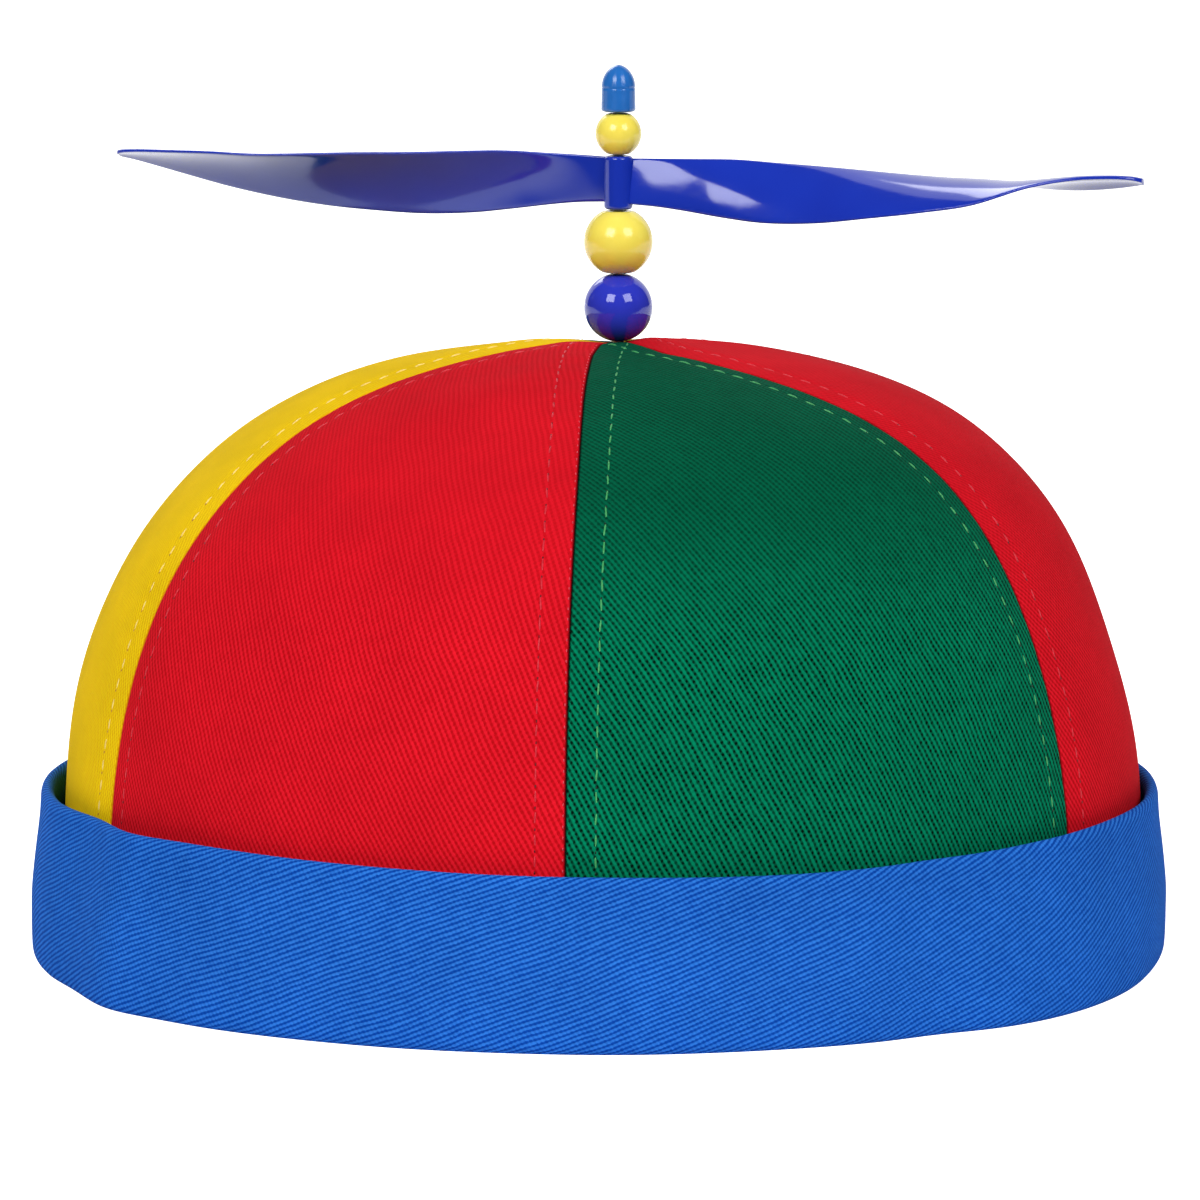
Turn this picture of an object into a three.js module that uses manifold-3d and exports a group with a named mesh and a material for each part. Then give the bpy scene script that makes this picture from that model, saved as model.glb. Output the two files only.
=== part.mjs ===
// Propeller beanie: a cap of six cloth panels with a turned-up cuff. A post through the top of
// the crown holds a stack of beads and a two-blade propeller, which spins freely.
// Millimetres, +Z up, the front is -Y. The origin is the centre of the cuff's underside.
import * as THREE from 'three';
import { mergeVertices } from 'three/addons/utils/BufferGeometryUtils.js';
import Module from 'manifold-3d';

const wasm = await Module();
wasm.setup();

const DEGREE = Math.PI / 180;
const FULL_TURN = 2 * Math.PI;
const WELD = 1e-4;
const TANGENT_STEP = 1e-4;

// Clearances
const seatGap = 0.3;
const seamGap = 0.3;
const shaftGap = 0.3;

// Crown: a nearly round plan, and a side view that follows a softened ellipse
const planDepth = 0.98;
const crownRadius = 94.5;
const crownRise = 95.6;
const crownFoot = 10.35;
const sidePower = 0.754;
const topPower = 0.788;
const panelWall = 1.2;
const crownLean = 1.3;
const poleShift = 3.2;
const poleBlend = 8;
const seamDepth = 0.5;
const seamSpread = 4;
const seamFade = 12;
const panelColumns = 12;
const panelRows = 14;
const rowCrowding = 1.5;

// The top swells in a low crest, dips where the beads sit and falls away behind.
const crestRise = 1.5;
const crestSpread = 26;
const dimpleDepth = 1.2;
const dimpleSpread = 5.5;
const backFall = 0.17;
const backEase = 2;
const backReach = 28;

// The seams in order of azimuth, in degrees. Towards the top each strays sideways by a share of
// seamSway, most of all the one between the two panels on the right.
const seamSway = 7.6;
const swayInner = 18;
const swayOuter = 54;
const seams = [
  { azimuth: -63, sway: 0.1 },
  { azimuth: -3.5, sway: -0.17 },
  { azimuth: 57.5, sway: -1 },
  { azimuth: 117, sway: -0.5 },
  { azimuth: 177, sway: 0 },
  { azimuth: 237, sway: 0 },
];

// Where the cloth stands in or out of the plain crown. Azimuths and widths are in degrees, heights
// and tallness are shares of the crown's rise, and push is a share of the crown's radius.
const crownSwells = [
  { azimuth: 87, width: 34, height: 0.8, tall: 0.17, push: 0.014 },
  { azimuth: 87, width: 30, height: 0.18, tall: 0.2, push: 0.01 },
  { azimuth: -93, width: 34, height: 0.775, tall: 0.13, push: -0.006 },
];

// Cuff: a band folded double, sewn on under the crown's edge and turned up
const cuffHeight = 29.2;
const cuffSwell = 5.2;
const cuffWall = 2.4;
const cuffFloor = 2.4;
const cuffSegments = 72;
const slotSlack = 1.6;
const legWall = 1.2;
const legHeight = 12;
const legBevel = 0.8;

// The band's outer face: height as a share of the cuff's height, and how far it stands out of the
// crown's radius as a share of the cuff's swell.
const cuffFace = [
  { height: 0, out: 0.8 },
  { height: 0.037, out: 0.95 },
  { height: 0.12, out: 0.99 },
  { height: 0.27, out: 1 },
  { height: 0.41, out: 0.99 },
  { height: 0.61, out: 0.88 },
  { height: 0.81, out: 0.74 },
  { height: 0.935, out: 0.69 },
  { height: 0.985, out: 0.57 },
  { height: 1, out: 0.42 },
];
const cuffInsideFrom = 0.12;
const cuffInsideTo = 0.985;

// Soft folds of the band: push is a share of the cuff's swell, rim is the share of the push that
// is left at the rim, and lift is a share of the cuff's height. The band is fuller at the front's
// two corners than between them.
const cuffFolds = [
  { azimuth: -53, width: 21.5, push: 0.62, rim: 0.1, lift: 0 },
  { azimuth: 49, width: 20.3, push: 0.67, rim: 0.1, lift: 0 },
  { azimuth: 92, width: 14, push: -0.12, rim: 0, lift: 0 },
  { azimuth: 34, width: 5, push: -0.14, rim: 1, lift: 0 },
  { azimuth: -53, width: 5, push: 0.14, rim: 1, lift: 0 },
  { azimuth: -64, width: 6, push: -0.14, rim: 1, lift: 0 },
  { azimuth: -42, width: 24, push: 0, rim: 1, lift: 0.02 },
  { azimuth: 22, width: 18, push: 0, rim: 1, lift: -0.02 },
];

// Post, with a flat head under the crown
const postRadius = 1;
const headRadius = 6;
const headHeight = 1.2;
const postSides = 16;

// Beads
const largeBeadRadius = 6;
const baseBeadHeight = 11.6;
const spacerBeadHeight = 10.75;
const topBeadRadius = 4;
const topBeadHeight = 7.1;
const beadSides = 24;
const beadSteps = 8;

// Tip cap: a short cylinder under a dome, which is a little more pointed than an ellipse
const capRadius = 3;
const capStraight = 4.1;
const capDome = 4;
const capBevel = 0.4;
const capSocket = 4.8;
const domeSteps = 5;
const domePower = 1.12;

// Propeller
const hubRadius = 2.5;
const hubHeight = 9.3;
const hubBevel = 0.9;
const hubEase = 0.3;
const bladeReach = 93.7;
const bladeChord = 14.2;
const bladeThickness = 0.9;
const bladeLift = 2.6;
const bladeCamber = 0.08;
const bladeEdge = 0.4;
const bladeColumns = 7;
const propellerYaw = -18.5 * DEGREE;

// Sizes that follow from the others
const postHole = postRadius + shaftGap;
const legRadius = crownRadius - panelWall - seamDepth - seatGap;

// Blade sections. reach is a share of the blade's reach, chord of the widest chord and each lift of
// the tip's lift. Each pitch is in degrees out of flat: the left blade is warped steeper than the
// right one, whose tip twists a little past flat.
const bladeSections = [
  { reach: 0.02, chord: 0.56, leftPitch: 84, leftLift: 0.2, rightPitch: 84, rightLift: 0.1 },
  { reach: 0.08, chord: 0.6, leftPitch: 83, leftLift: 0.2, rightPitch: 80, rightLift: 0.05 },
  { reach: 0.14, chord: 0.66, leftPitch: 83, leftLift: 0.12, rightPitch: 76, rightLift: -0.05 },
  { reach: 0.22, chord: 0.76, leftPitch: 80, leftLift: -0.03, rightPitch: 68, rightLift: -0.22 },
  { reach: 0.3, chord: 0.86, leftPitch: 73, leftLift: -0.25, rightPitch: 56, rightLift: -0.42 },
  { reach: 0.4, chord: 0.94, leftPitch: 61, leftLift: -0.42, rightPitch: 41, rightLift: -0.47 },
  { reach: 0.5, chord: 0.98, leftPitch: 51, leftLift: -0.42, rightPitch: 29, rightLift: -0.38 },
  { reach: 0.6, chord: 1, leftPitch: 44, leftLift: -0.38, rightPitch: 20, rightLift: -0.25 },
  { reach: 0.7, chord: 0.98, leftPitch: 37, leftLift: -0.22, rightPitch: 12, rightLift: 0 },
  { reach: 0.8, chord: 0.9, leftPitch: 32, leftLift: 0.15, rightPitch: -5, rightLift: 0.42 },
  { reach: 0.88, chord: 0.74, leftPitch: 27, leftLift: 0.5, rightPitch: -14, rightLift: 0.72 },
  { reach: 0.94, chord: 0.55, leftPitch: 23, leftLift: 0.78, rightPitch: -17, rightLift: 0.9 },
  { reach: 0.98, chord: 0.34, leftPitch: 20, leftLift: 0.95, rightPitch: -18, rightLift: 1 },
  { reach: 1, chord: 0.14, leftPitch: 20, leftLift: 1, rightPitch: -18, rightLift: 1 },
];

const yellowCloth = { color: '#f4cf1c', roughness: 0.9, metalness: 0 };
const redCloth = { color: '#d2131f', roughness: 0.9, metalness: 0 };
const greenCloth = { color: '#04704b', roughness: 0.9, metalness: 0 };
const blueCloth = { color: '#2563c8', roughness: 0.9, metalness: 0 };
const bluePlastic = { color: '#2438a8', roughness: 0.25, metalness: 0 };
const tipPlastic = { color: '#1f63b5', roughness: 0.25, metalness: 0 };
const yellowPlastic = { color: '#f2d648', roughness: 0.45, metalness: 0 };
const steel = { color: '#b8babd', roughness: 0.35, metalness: 1 };

// Panels in order of azimuth, from the first seam: the back repeats the front's colours.
const panels = [
  { name: 'panel_red_front', cloth: redCloth },
  { name: 'panel_green_front', cloth: greenCloth },
  { name: 'panel_red_right', cloth: redCloth },
  { name: 'panel_yellow_back', cloth: yellowCloth },
  { name: 'panel_green_back', cloth: greenCloth },
  { name: 'panel_yellow_left', cloth: yellowCloth },
];

function bump(distance, spread) {
  return Math.exp(-((distance / spread) ** 2));
}

function turnBetween(a, b) {
  const turn = (a - b) % FULL_TURN;
  if (turn > Math.PI) return turn - FULL_TURN;
  if (turn < -Math.PI) return turn + FULL_TURN;
  return turn;
}

// Azimuth 0 is the front, and it grows towards +X.
function around(azimuth, radius, height, centreX = 0) {
  const x = centreX + radius * Math.sin(azimuth);
  const y = -radius * Math.cos(azimuth) * planDepth;
  return new THREE.Vector3(x, y, height);
}

// Joins a row of closed loops into a solid. Point j and the j-th from the end face each other
// across the wall, so an open row is closed by a strip over each end loop.
function stitch(loops, closedRow) {
  const size = loops[0].length;
  const positions = loops.flat().flatMap((point) => point.toArray());
  const index = [];
  const quad = (a, b, c, d) => index.push(a, b, c, a, c, d);
  const joints = closedRow ? loops.length : loops.length - 1;
  for (let i = 0; i < joints; i += 1) {
    const here = i * size;
    const next = ((i + 1) % loops.length) * size;
    for (let j = 0; j < size; j += 1) {
      const k = (j + 1) % size;
      quad(here + j, here + k, next + k, next + j);
    }
  }
  if (!closedRow) {
    const last = (loops.length - 1) * size;
    for (let j = 0; j < size / 2 - 1; j += 1) {
      const far = size - 1 - j;
      quad(j, far, far - 1, j + 1);
      quad(last + j, last + j + 1, last + far - 1, last + far);
    }
  }
  const geometry = new THREE.BufferGeometry();
  geometry.setAttribute('position', new THREE.Float32BufferAttribute(positions, 3));
  geometry.setIndex(index);
  return geometry;
}

// A body of revolution about +Z from rows of [radius, height], listed bottom to top on the outside.
function turned(profile, sides) {
  const points = profile.map(([radius, height]) => new THREE.Vector2(radius, height));
  return new THREE.LatheGeometry(points, sides).rotateX(Math.PI / 2);
}

function toManifold(geometry) {
  const bare = geometry.clone();
  bare.deleteAttribute('normal');
  bare.deleteAttribute('uv');
  const merged = mergeVertices(bare, WELD);
  const vertProperties = merged.attributes.position.array;
  const triVerts = new Uint32Array(merged.index.array);
  return new wasm.Manifold(new wasm.Mesh({ numProp: 3, vertProperties, triVerts }));
}

function fromManifold(solid) {
  const mesh = solid.getMesh();
  const geometry = new THREE.BufferGeometry();
  geometry.setAttribute('position', new THREE.Float32BufferAttribute(mesh.vertProperties, 3));
  geometry.setIndex(Array.from(mesh.triVerts));
  return geometry;
}

function named(name, geometry, finish) {
  geometry.computeVertexNormals();
  const mesh = new THREE.Mesh(geometry, new THREE.MeshStandardMaterial(finish));
  mesh.name = name;
  return mesh;
}

// Crown surface

function crownProfile(latitude) {
  const radius = crownRadius * Math.cos(latitude) ** sidePower;
  const side = crownFoot + crownRise * Math.sin(latitude) ** topPower;
  const crest = crestRise * bump(radius, crestSpread);
  const dimple = dimpleDepth * bump(radius, dimpleSpread);
  return { radius, height: side + crest - dimple };
}

// The latitude where the crown is this far from its axis
function latitudeAt(radius) {
  return Math.acos((radius / crownRadius) ** (1 / sidePower));
}

function crownNormal(latitude) {
  const below = crownProfile(Math.max(latitude - TANGENT_STEP, 0));
  const above = crownProfile(Math.min(latitude + TANGENT_STEP, Math.PI / 2));
  const rise = above.height - below.height;
  const reach = below.radius - above.radius;
  const length = Math.hypot(rise, reach);
  return { out: rise / length, up: reach / length };
}

function crownRow(latitude) {
  return { ...crownProfile(latitude), normal: crownNormal(latitude) };
}

// Where a seam runs, at this distance from the crown's axis
function seamAzimuth(order, radius) {
  const seam = seams[order % seams.length];
  const turns = Math.floor(order / seams.length);
  const stray = (seam.sway * seamSway) / Math.max(radius, swayInner);
  return seam.azimuth * DEGREE + turns * FULL_TURN + stray * bump(radius ** 2, swayOuter ** 2);
}

function seamPush(offSeam, radius) {
  return -seamDepth * bump(offSeam, seamSpread) * Math.min(1, radius / seamFade);
}

function swellPush(azimuth, height) {
  let push = 0;
  for (const swell of crownSwells) {
    const side = bump(turnBetween(azimuth, swell.azimuth * DEGREE), swell.width * DEGREE);
    const level = bump((height - crownFoot) / crownRise - swell.height, swell.tall);
    push += swell.push * crownRadius * side * level;
  }
  return push;
}

// A point of the crown's cloth, at a distance from the nearest seam and a depth under its outer
// face
function crownPoint(azimuth, offSeam, row, depth) {
  const { radius, height, normal } = row;
  const push = seamPush(offSeam, radius) + swellPush(azimuth, height) - depth;
  const lean = crownLean * (1 - radius / crownRadius);
  const nearPole = Math.max(0, (poleBlend - radius) / (poleBlend - postHole));
  const centreX = lean + (poleShift - lean) * nearPole;
  const point = around(azimuth, radius + push * normal.out, height + push * normal.up, centreX);
  const behind = (point.y + Math.hypot(point.y, backEase)) / 2;
  point.z -= backFall * behind * bump(radius, backReach);
  return point;
}

// Rows crowd towards the top, where the crown curves in.
function crownRows() {
  const foot = crownNormal(0);
  const rows = [{ radius: crownRadius, height: cuffFloor + seatGap, normal: foot }];
  for (let i = 0; i < panelRows; i += 1) {
    const latitude = (Math.PI / 2) * (1 - (1 - i / panelRows) ** rowCrowding);
    rows.push(crownRow(latitude));
  }
  rows.push(crownRow(latitudeAt(postHole)));
  return rows;
}

function panelGeometry(order) {
  const loops = crownRows().map((row) => {
    const inset = seamGap / 2 / row.radius;
    const start = seamAzimuth(order, row.radius) + inset;
    const end = seamAzimuth(order + 1, row.radius) - inset;
    const outside = [];
    const inside = [];
    for (let j = 0; j <= panelColumns; j += 1) {
      const azimuth = start + ((end - start) * j) / panelColumns;
      const offSeam = Math.min(azimuth - start, end - azimuth) * row.radius;
      outside.push(crownPoint(azimuth, offSeam, row, 0));
      inside.unshift(crownPoint(azimuth, offSeam, row, panelWall));
    }
    return [...outside, ...inside];
  });
  return stitch(loops, false);
}

// Cuff

function cuffPoint(azimuth, radius, height) {
  const level = height / cuffHeight;
  let out = 0;
  let lift = 0;
  for (const fold of cuffFolds) {
    const near = bump(turnBetween(azimuth, fold.azimuth * DEGREE), fold.width * DEGREE);
    out += fold.push * cuffSwell * near * (1 - level * (1 - fold.rim));
    lift += fold.lift * cuffHeight * near * level;
  }
  return around(azimuth, radius + out, height + lift);
}

function cuffSection(azimuth) {
  const facePoint = (row, depth) => {
    const radius = crownRadius + row.out * cuffSwell - depth;
    return cuffPoint(azimuth, radius, row.height * cuffHeight);
  };
  const backed = cuffFace.filter((row) => {
    return row.height >= cuffInsideFrom && row.height < cuffInsideTo;
  });
  const outer = cuffFace.map((row) => facePoint(row, 0));
  const inner = backed.reverse().map((row) => facePoint(row, cuffWall));
  const floor = [
    around(azimuth, crownRadius + slotSlack, cuffFloor),
    around(azimuth, legRadius, cuffFloor),
    around(azimuth, legRadius, legHeight),
    around(azimuth, legRadius - legWall, legHeight),
    around(azimuth, legRadius - legWall, legBevel),
    around(azimuth, legRadius - legWall + legBevel, 0),
  ];
  return [...outer, ...inner, ...floor].reverse();
}

function cuffGeometry() {
  const loops = [];
  for (let i = 0; i < cuffSegments; i += 1) {
    loops.push(cuffSection((FULL_TURN * i) / cuffSegments));
  }
  return stitch(loops, true);
}

// Beads, post and tip cap: bodies of revolution, each from its own underside up

function beadGeometry(radius, height, bore) {
  const reach = Math.asin(height / 2 / radius);
  const profile = [[bore, 0]];
  for (let i = 0; i <= beadSteps; i += 1) {
    const angle = reach * ((2 * i) / beadSteps - 1);
    profile.push([radius * Math.cos(angle), height / 2 + radius * Math.sin(angle)]);
  }
  profile.push([bore, height], [bore, 0]);
  return turned(profile, beadSides);
}

function capGeometry(bore) {
  const profile = [
    [0, 0],
    [capRadius - capBevel, 0],
    [capRadius, capBevel],
  ];
  for (let i = 0; i < domeSteps; i += 1) {
    const angle = ((Math.PI / 2) * i) / domeSteps;
    const radius = capRadius * Math.cos(angle) ** domePower;
    profile.push([radius, capStraight + capDome * Math.sin(angle)]);
  }
  profile.push([0, capStraight + capDome]);
  const shell = toManifold(turned(profile, beadSides));
  const socket = toManifold(turned(plug(bore, -seatGap, capSocket), postSides));
  return fromManifold(shell.subtract(socket));
}

function plug(radius, bottom, top) {
  return [[0, bottom], [radius, bottom], [radius, top], [0, top]];
}

function postGeometry(headTop, tip) {
  const profile = [
    [0, headTop - headHeight],
    [headRadius, headTop - headHeight],
    [headRadius, headTop],
    [postRadius, headTop],
    [postRadius, tip],
    [0, tip],
  ];
  return turned(profile, postSides);
}

// Propeller, about its own axis, with the hub's middle at height 0

function bladeLoop(section, side) {
  const pitch = (side > 0 ? section.rightPitch : section.leftPitch) * DEGREE;
  const lift = (side > 0 ? section.rightLift : section.leftLift) * bladeLift;
  const chord = section.chord * bladeChord;
  const middle = new THREE.Vector3(side * section.reach * bladeReach, 0, lift);
  const across = new THREE.Vector3(0, side * Math.cos(pitch), Math.sin(pitch));
  const upright = new THREE.Vector3(0, -side * Math.sin(pitch), Math.cos(pitch));
  const face = (share, offset) => {
    const bow = bladeCamber * chord * (1 - (2 * share - 1) ** 2);
    return middle.clone()
      .addScaledVector(across, (share - 0.5) * chord)
      .addScaledVector(upright, bow + offset);
  };
  const top = [];
  const bottom = [];
  for (let i = 0; i < bladeColumns; i += 1) {
    const angle = (Math.PI * i) / (bladeColumns - 1);
    const share = (1 - Math.cos(angle)) / 2;
    const half = (bladeThickness / 2) * Math.max(Math.sin(angle) ** bladeEdge, bladeEdge);
    top.push(face(share, half));
    bottom.unshift(face(share, -half));
  }
  return [...top, ...bottom].reverse();
}

function bladeGeometry(side) {
  return stitch(bladeSections.map((section) => bladeLoop(section, side)), false);
}

function propellerGeometry(bore) {
  const half = hubHeight / 2;
  const hub = turned([
    [0, -half],
    [hubRadius - hubBevel, -half],
    [hubRadius - hubEase, -half + hubEase],
    [hubRadius, -half + hubBevel],
    [hubRadius, half - hubEase],
    [hubRadius - hubEase, half],
    [0, half],
  ], beadSides);
  const right = toManifold(bladeGeometry(1));
  const left = toManifold(bladeGeometry(-1));
  const hole = toManifold(turned(plug(bore, -hubHeight, hubHeight), postSides));
  return fromManifold(toManifold(hub).add(right).add(left).subtract(hole));
}

// Assembly

const beanie = new THREE.Group();
panels.forEach((panel, order) => {
  beanie.add(named(panel.name, panelGeometry(order), panel.cloth));
});
beanie.add(named('cuff', cuffGeometry(), blueCloth));

// The first bead clears the front of the dip, which is its highest side, and the post's head the
// back.
const dipFront = crownPoint(0, seamSpread, crownRow(latitudeAt(postHole)), 0);
const dipBack = crownPoint(Math.PI, 0, crownRow(latitudeAt(headRadius)), panelWall);
const headTop = dipBack.z - seatGap;

const stack = new THREE.Group();
stack.position.set(poleShift, 0, 0);
beanie.add(stack);

let level = dipFront.z + seatGap;
function seat(mesh, height, middle = 0) {
  mesh.position.z = level + middle;
  level += height + seatGap;
  stack.add(mesh);
}

const baseBead = beadGeometry(largeBeadRadius, baseBeadHeight, postHole);
seat(named('base_bead', baseBead, bluePlastic), baseBeadHeight);
const spacerBead = beadGeometry(largeBeadRadius, spacerBeadHeight, postHole);
seat(named('spacer_bead', spacerBead, yellowPlastic), spacerBeadHeight);
const propeller = named('propeller', propellerGeometry(postHole), bluePlastic);
propeller.rotation.z = propellerYaw;
seat(propeller, hubHeight, hubHeight / 2);
const topBead = beadGeometry(topBeadRadius, topBeadHeight, postHole);
seat(named('top_bead', topBead, yellowPlastic), topBeadHeight);
const socketEnd = level + capSocket;
seat(named('tip_cap', capGeometry(postHole), tipPlastic), capStraight + capDome);
stack.add(named('post', postGeometry(headTop, socketEnd - seatGap), steel));

export default beanie;
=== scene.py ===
# %% [markdown]
# # A propeller beanie
# A cap of six cloth panels with a turned-up cuff. A wire post through its top carries three
# beads, a tip cap and a two-blade propeller that spins. This lesson dresses the plain solids of
# the part: all but the post are replaced by fine meshes of the same size, with materials worked
# out from what the real thing is made of.

# %% Load the part
import math

import bmesh
import bpy
import numpy as np
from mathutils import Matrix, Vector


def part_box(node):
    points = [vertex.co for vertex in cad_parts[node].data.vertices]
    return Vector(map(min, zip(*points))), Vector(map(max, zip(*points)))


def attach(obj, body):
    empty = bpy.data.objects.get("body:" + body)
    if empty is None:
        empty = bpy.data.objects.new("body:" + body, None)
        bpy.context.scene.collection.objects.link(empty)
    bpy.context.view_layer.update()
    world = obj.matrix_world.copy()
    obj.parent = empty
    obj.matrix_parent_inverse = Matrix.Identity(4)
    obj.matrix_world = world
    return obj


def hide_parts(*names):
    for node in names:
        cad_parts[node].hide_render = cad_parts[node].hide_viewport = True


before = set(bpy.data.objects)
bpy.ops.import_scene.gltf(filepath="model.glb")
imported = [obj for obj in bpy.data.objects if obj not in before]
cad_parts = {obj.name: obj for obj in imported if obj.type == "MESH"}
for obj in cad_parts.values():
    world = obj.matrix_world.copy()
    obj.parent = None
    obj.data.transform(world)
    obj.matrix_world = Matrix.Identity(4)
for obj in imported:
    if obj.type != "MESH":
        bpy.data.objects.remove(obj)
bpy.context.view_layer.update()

scene = bpy.context.scene
MM = 0.001
DEGREE = math.pi / 180

# %% [markdown]
# ## Camera
# The photograph was taken from far off with a long lens, a little above the cap. Its outline
# gives the lens: the cuff's near and far edges, the crown's top and the propeller's span fit
# one camera only. A long lens keeps the cuff's ellipse shallow.

# %% Camera
IMAGE_PIXELS = 1200
FOCAL_PIXELS = 6914
CAMERA_PLACE = (0, -1.2, 0.2374)
CAMERA_DIP = 0.1462
camera_data = bpy.data.cameras.new("camera")
camera_data.sensor_width = 36
camera_data.lens = FOCAL_PIXELS / IMAGE_PIXELS * camera_data.sensor_width
camera = bpy.data.objects.new("camera", camera_data)
camera.location = CAMERA_PLACE
camera.rotation_euler = (math.pi / 2 - CAMERA_DIP, 0, 0)
scene.collection.objects.link(camera)
scene.camera = camera
print("lens", round(camera_data.lens, 1), "mm")

# %% [markdown]
# ## Colour and nodes
# Colours are read off a screen as sRGB, and a shader works in linear light, so one function
# turns one into the other. A second small function adds a node, sets it and links it. It serves
# the materials and the Geometry Nodes alike, so each tree below reads as a list of steps. Most
# steps are sums of layers, each times its share, so a third function adds those up.



# %% Colour
def linear(colour):
    channels = [int(colour[i : i + 2], 16) / 255 for i in (1, 3, 5)]
    curve = [c / 12.92 if c <= 0.04045 else ((c + 0.055) / 1.055) ** 2.4 for c in channels]
    return (*curve, 1.0)


print("mid grey is", round(linear("#808080")[0], 3), "in linear light")

# %% Nodes
MATH = "ShaderNodeMath"
MIX = "ShaderNodeMix"


def feed(tree, node, inputs):
    """A node given as an input is linked by the first output that its settings leave on."""
    for name, value in inputs.items():
        if isinstance(value, bpy.types.Node):
            value = next(socket for socket in value.outputs if socket.enabled)
        if isinstance(value, bpy.types.NodeSocket):
            tree.links.new(value, node.inputs[name])
        else:
            node.inputs[name].default_value = value


def add_node(tree, kind, inputs=None, **settings):
    node = tree.nodes.new(kind)
    for name, value in settings.items():
        setattr(node, name, value)
    feed(tree, node, inputs or {})
    return node


def layered(tree, total, *layers):
    for layer, share in layers:
        total = add_node(tree, MATH, {0: layer, 1: share, 2: total}, operation="MULTIPLY_ADD")
    return total


print("trees are mostly", MATH, "and", MIX)


# %% Objects and materials
def linked_object(name, data):
    made = bpy.data.objects.new(name, data)
    scene.collection.objects.link(made)
    return made


def new_material(name, finish):
    """finish sets sockets of the shader to a number or a colour that is the same all over."""
    material = bpy.data.materials.new(name)
    material.use_nodes = True
    tree = material.node_tree
    tree.nodes.clear()
    shader = add_node(tree, "ShaderNodeBsdfPrincipled", finish)
    add_node(tree, "ShaderNodeOutputMaterial", {"Surface": shader})
    return material, tree, shader


# %% [markdown]
# ## Studio
# The photograph has a white ground and two square soft boxes, high in front, which the beads
# mirror as two small windows. A weaker box behind lights the back, which no picture shows. The
# room in front is dark, and the white ground behind and below shows as pale reflections in the
# blades. The ground could be a white card lit by lamps of its own. Here the sky and the floor
# glow for the camera and for mirror reflections, and give the cloth only a little fill, so its
# dyes stay deep. The standard view keeps them as strong as the photograph shows, where the
# default one would wash them out. In mirrors the paper ends a hand's width in front of the cap,
# where the dark room begins, and that leaves the hub and the left blade dark.

# %% Sky
scene.view_settings.view_transform = "Standard"
SKY_FOR_CAMERA = 1.0
SKY_FOR_CLOTH = 0.22
SKY_IN_MIRRORS = 0.06
world = bpy.data.worlds.new("white_studio")
scene.world = world
world.use_nodes = True
sky_tree = world.node_tree
sky_tree.nodes.clear()
ray = add_node(sky_tree, "ShaderNodeLightPath").outputs
indoors = {"Factor": ray["Is Glossy Ray"], "A": SKY_FOR_CLOTH, "B": SKY_IN_MIRRORS}
indoors = add_node(sky_tree, MIX, indoors)
strength = {"Factor": ray["Is Camera Ray"], "A": indoors, "B": SKY_FOR_CAMERA}
strength = add_node(sky_tree, MIX, strength)
sky = {"Color": linear("#ffffff"), "Strength": strength}
sky = add_node(sky_tree, "ShaderNodeBackground", sky)
add_node(sky_tree, "ShaderNodeOutputWorld", {"Surface": sky})
print("sky gives the cloth", SKY_FOR_CLOTH)



# %% Area lights
def area_light(name, size, watts):
    light = bpy.data.lights.new(name, "AREA")
    light.shape = "RECTANGLE"
    light.size, light.size_y = size
    light.energy = watts
    print(name, "shines with", round(watts, 1), "W")
    return linked_object(name, light)


# %% White ground behind
GROUND_GLOW = 1.1
GROUND_SIZE = (6.0, 4.0)
GROUND_BEHIND = 2.4
ground_watts = GROUND_GLOW * math.pi * GROUND_SIZE[0] * GROUND_SIZE[1]
ground = area_light("white_ground", GROUND_SIZE, ground_watts)
ground.location = (0, GROUND_BEHIND, GROUND_SIZE[1] / 2)
ground.rotation_euler = (-90 * DEGREE, 0, 0)
ground.visible_camera = False
ground.visible_diffuse = False

# %% Soft boxes
BOX_DISTANCE = 2.0
BOX_SIDE = 0.9
BOX_ELEVATION = 36
BOX_TARGET = np.array([0, 0, 0.07])


def soft_box(name, azimuth, watts):
    """An area light turned to the cap. Azimuth 0 is the front, and it grows towards +X."""
    box = area_light(name, (BOX_SIDE, BOX_SIDE), watts)
    flat = math.cos(BOX_ELEVATION * DEGREE)
    away = (
        flat * math.sin(azimuth * DEGREE),
        -flat * math.cos(azimuth * DEGREE),
        math.sin(BOX_ELEVATION * DEGREE),
    )
    box.location = BOX_TARGET + np.array(away) * BOX_DISTANCE
    box.rotation_euler = ((90 - BOX_ELEVATION) * DEGREE, 0, azimuth * DEGREE)
    print(name, "is at", [round(c, 2) for c in box.location])


soft_box("box_left", -31, 23)
soft_box("box_right", 38, 19)
soft_box("box_behind", -160, 9)

# %% Floor
FLOOR_HALF = 6
floor_mesh = bpy.data.meshes.new("floor")
corners = [(-1, -1), (1, -1), (1, 1), (-1, 1)]
corners = [(x * FLOOR_HALF, y * FLOOR_HALF, 0) for x, y in corners]
floor_mesh.from_pydata(corners, [], [(0, 1, 2, 3)])
linked_object("floor", floor_mesh)
print("floor is", 2 * FLOOR_HALF, "m wide")

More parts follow.
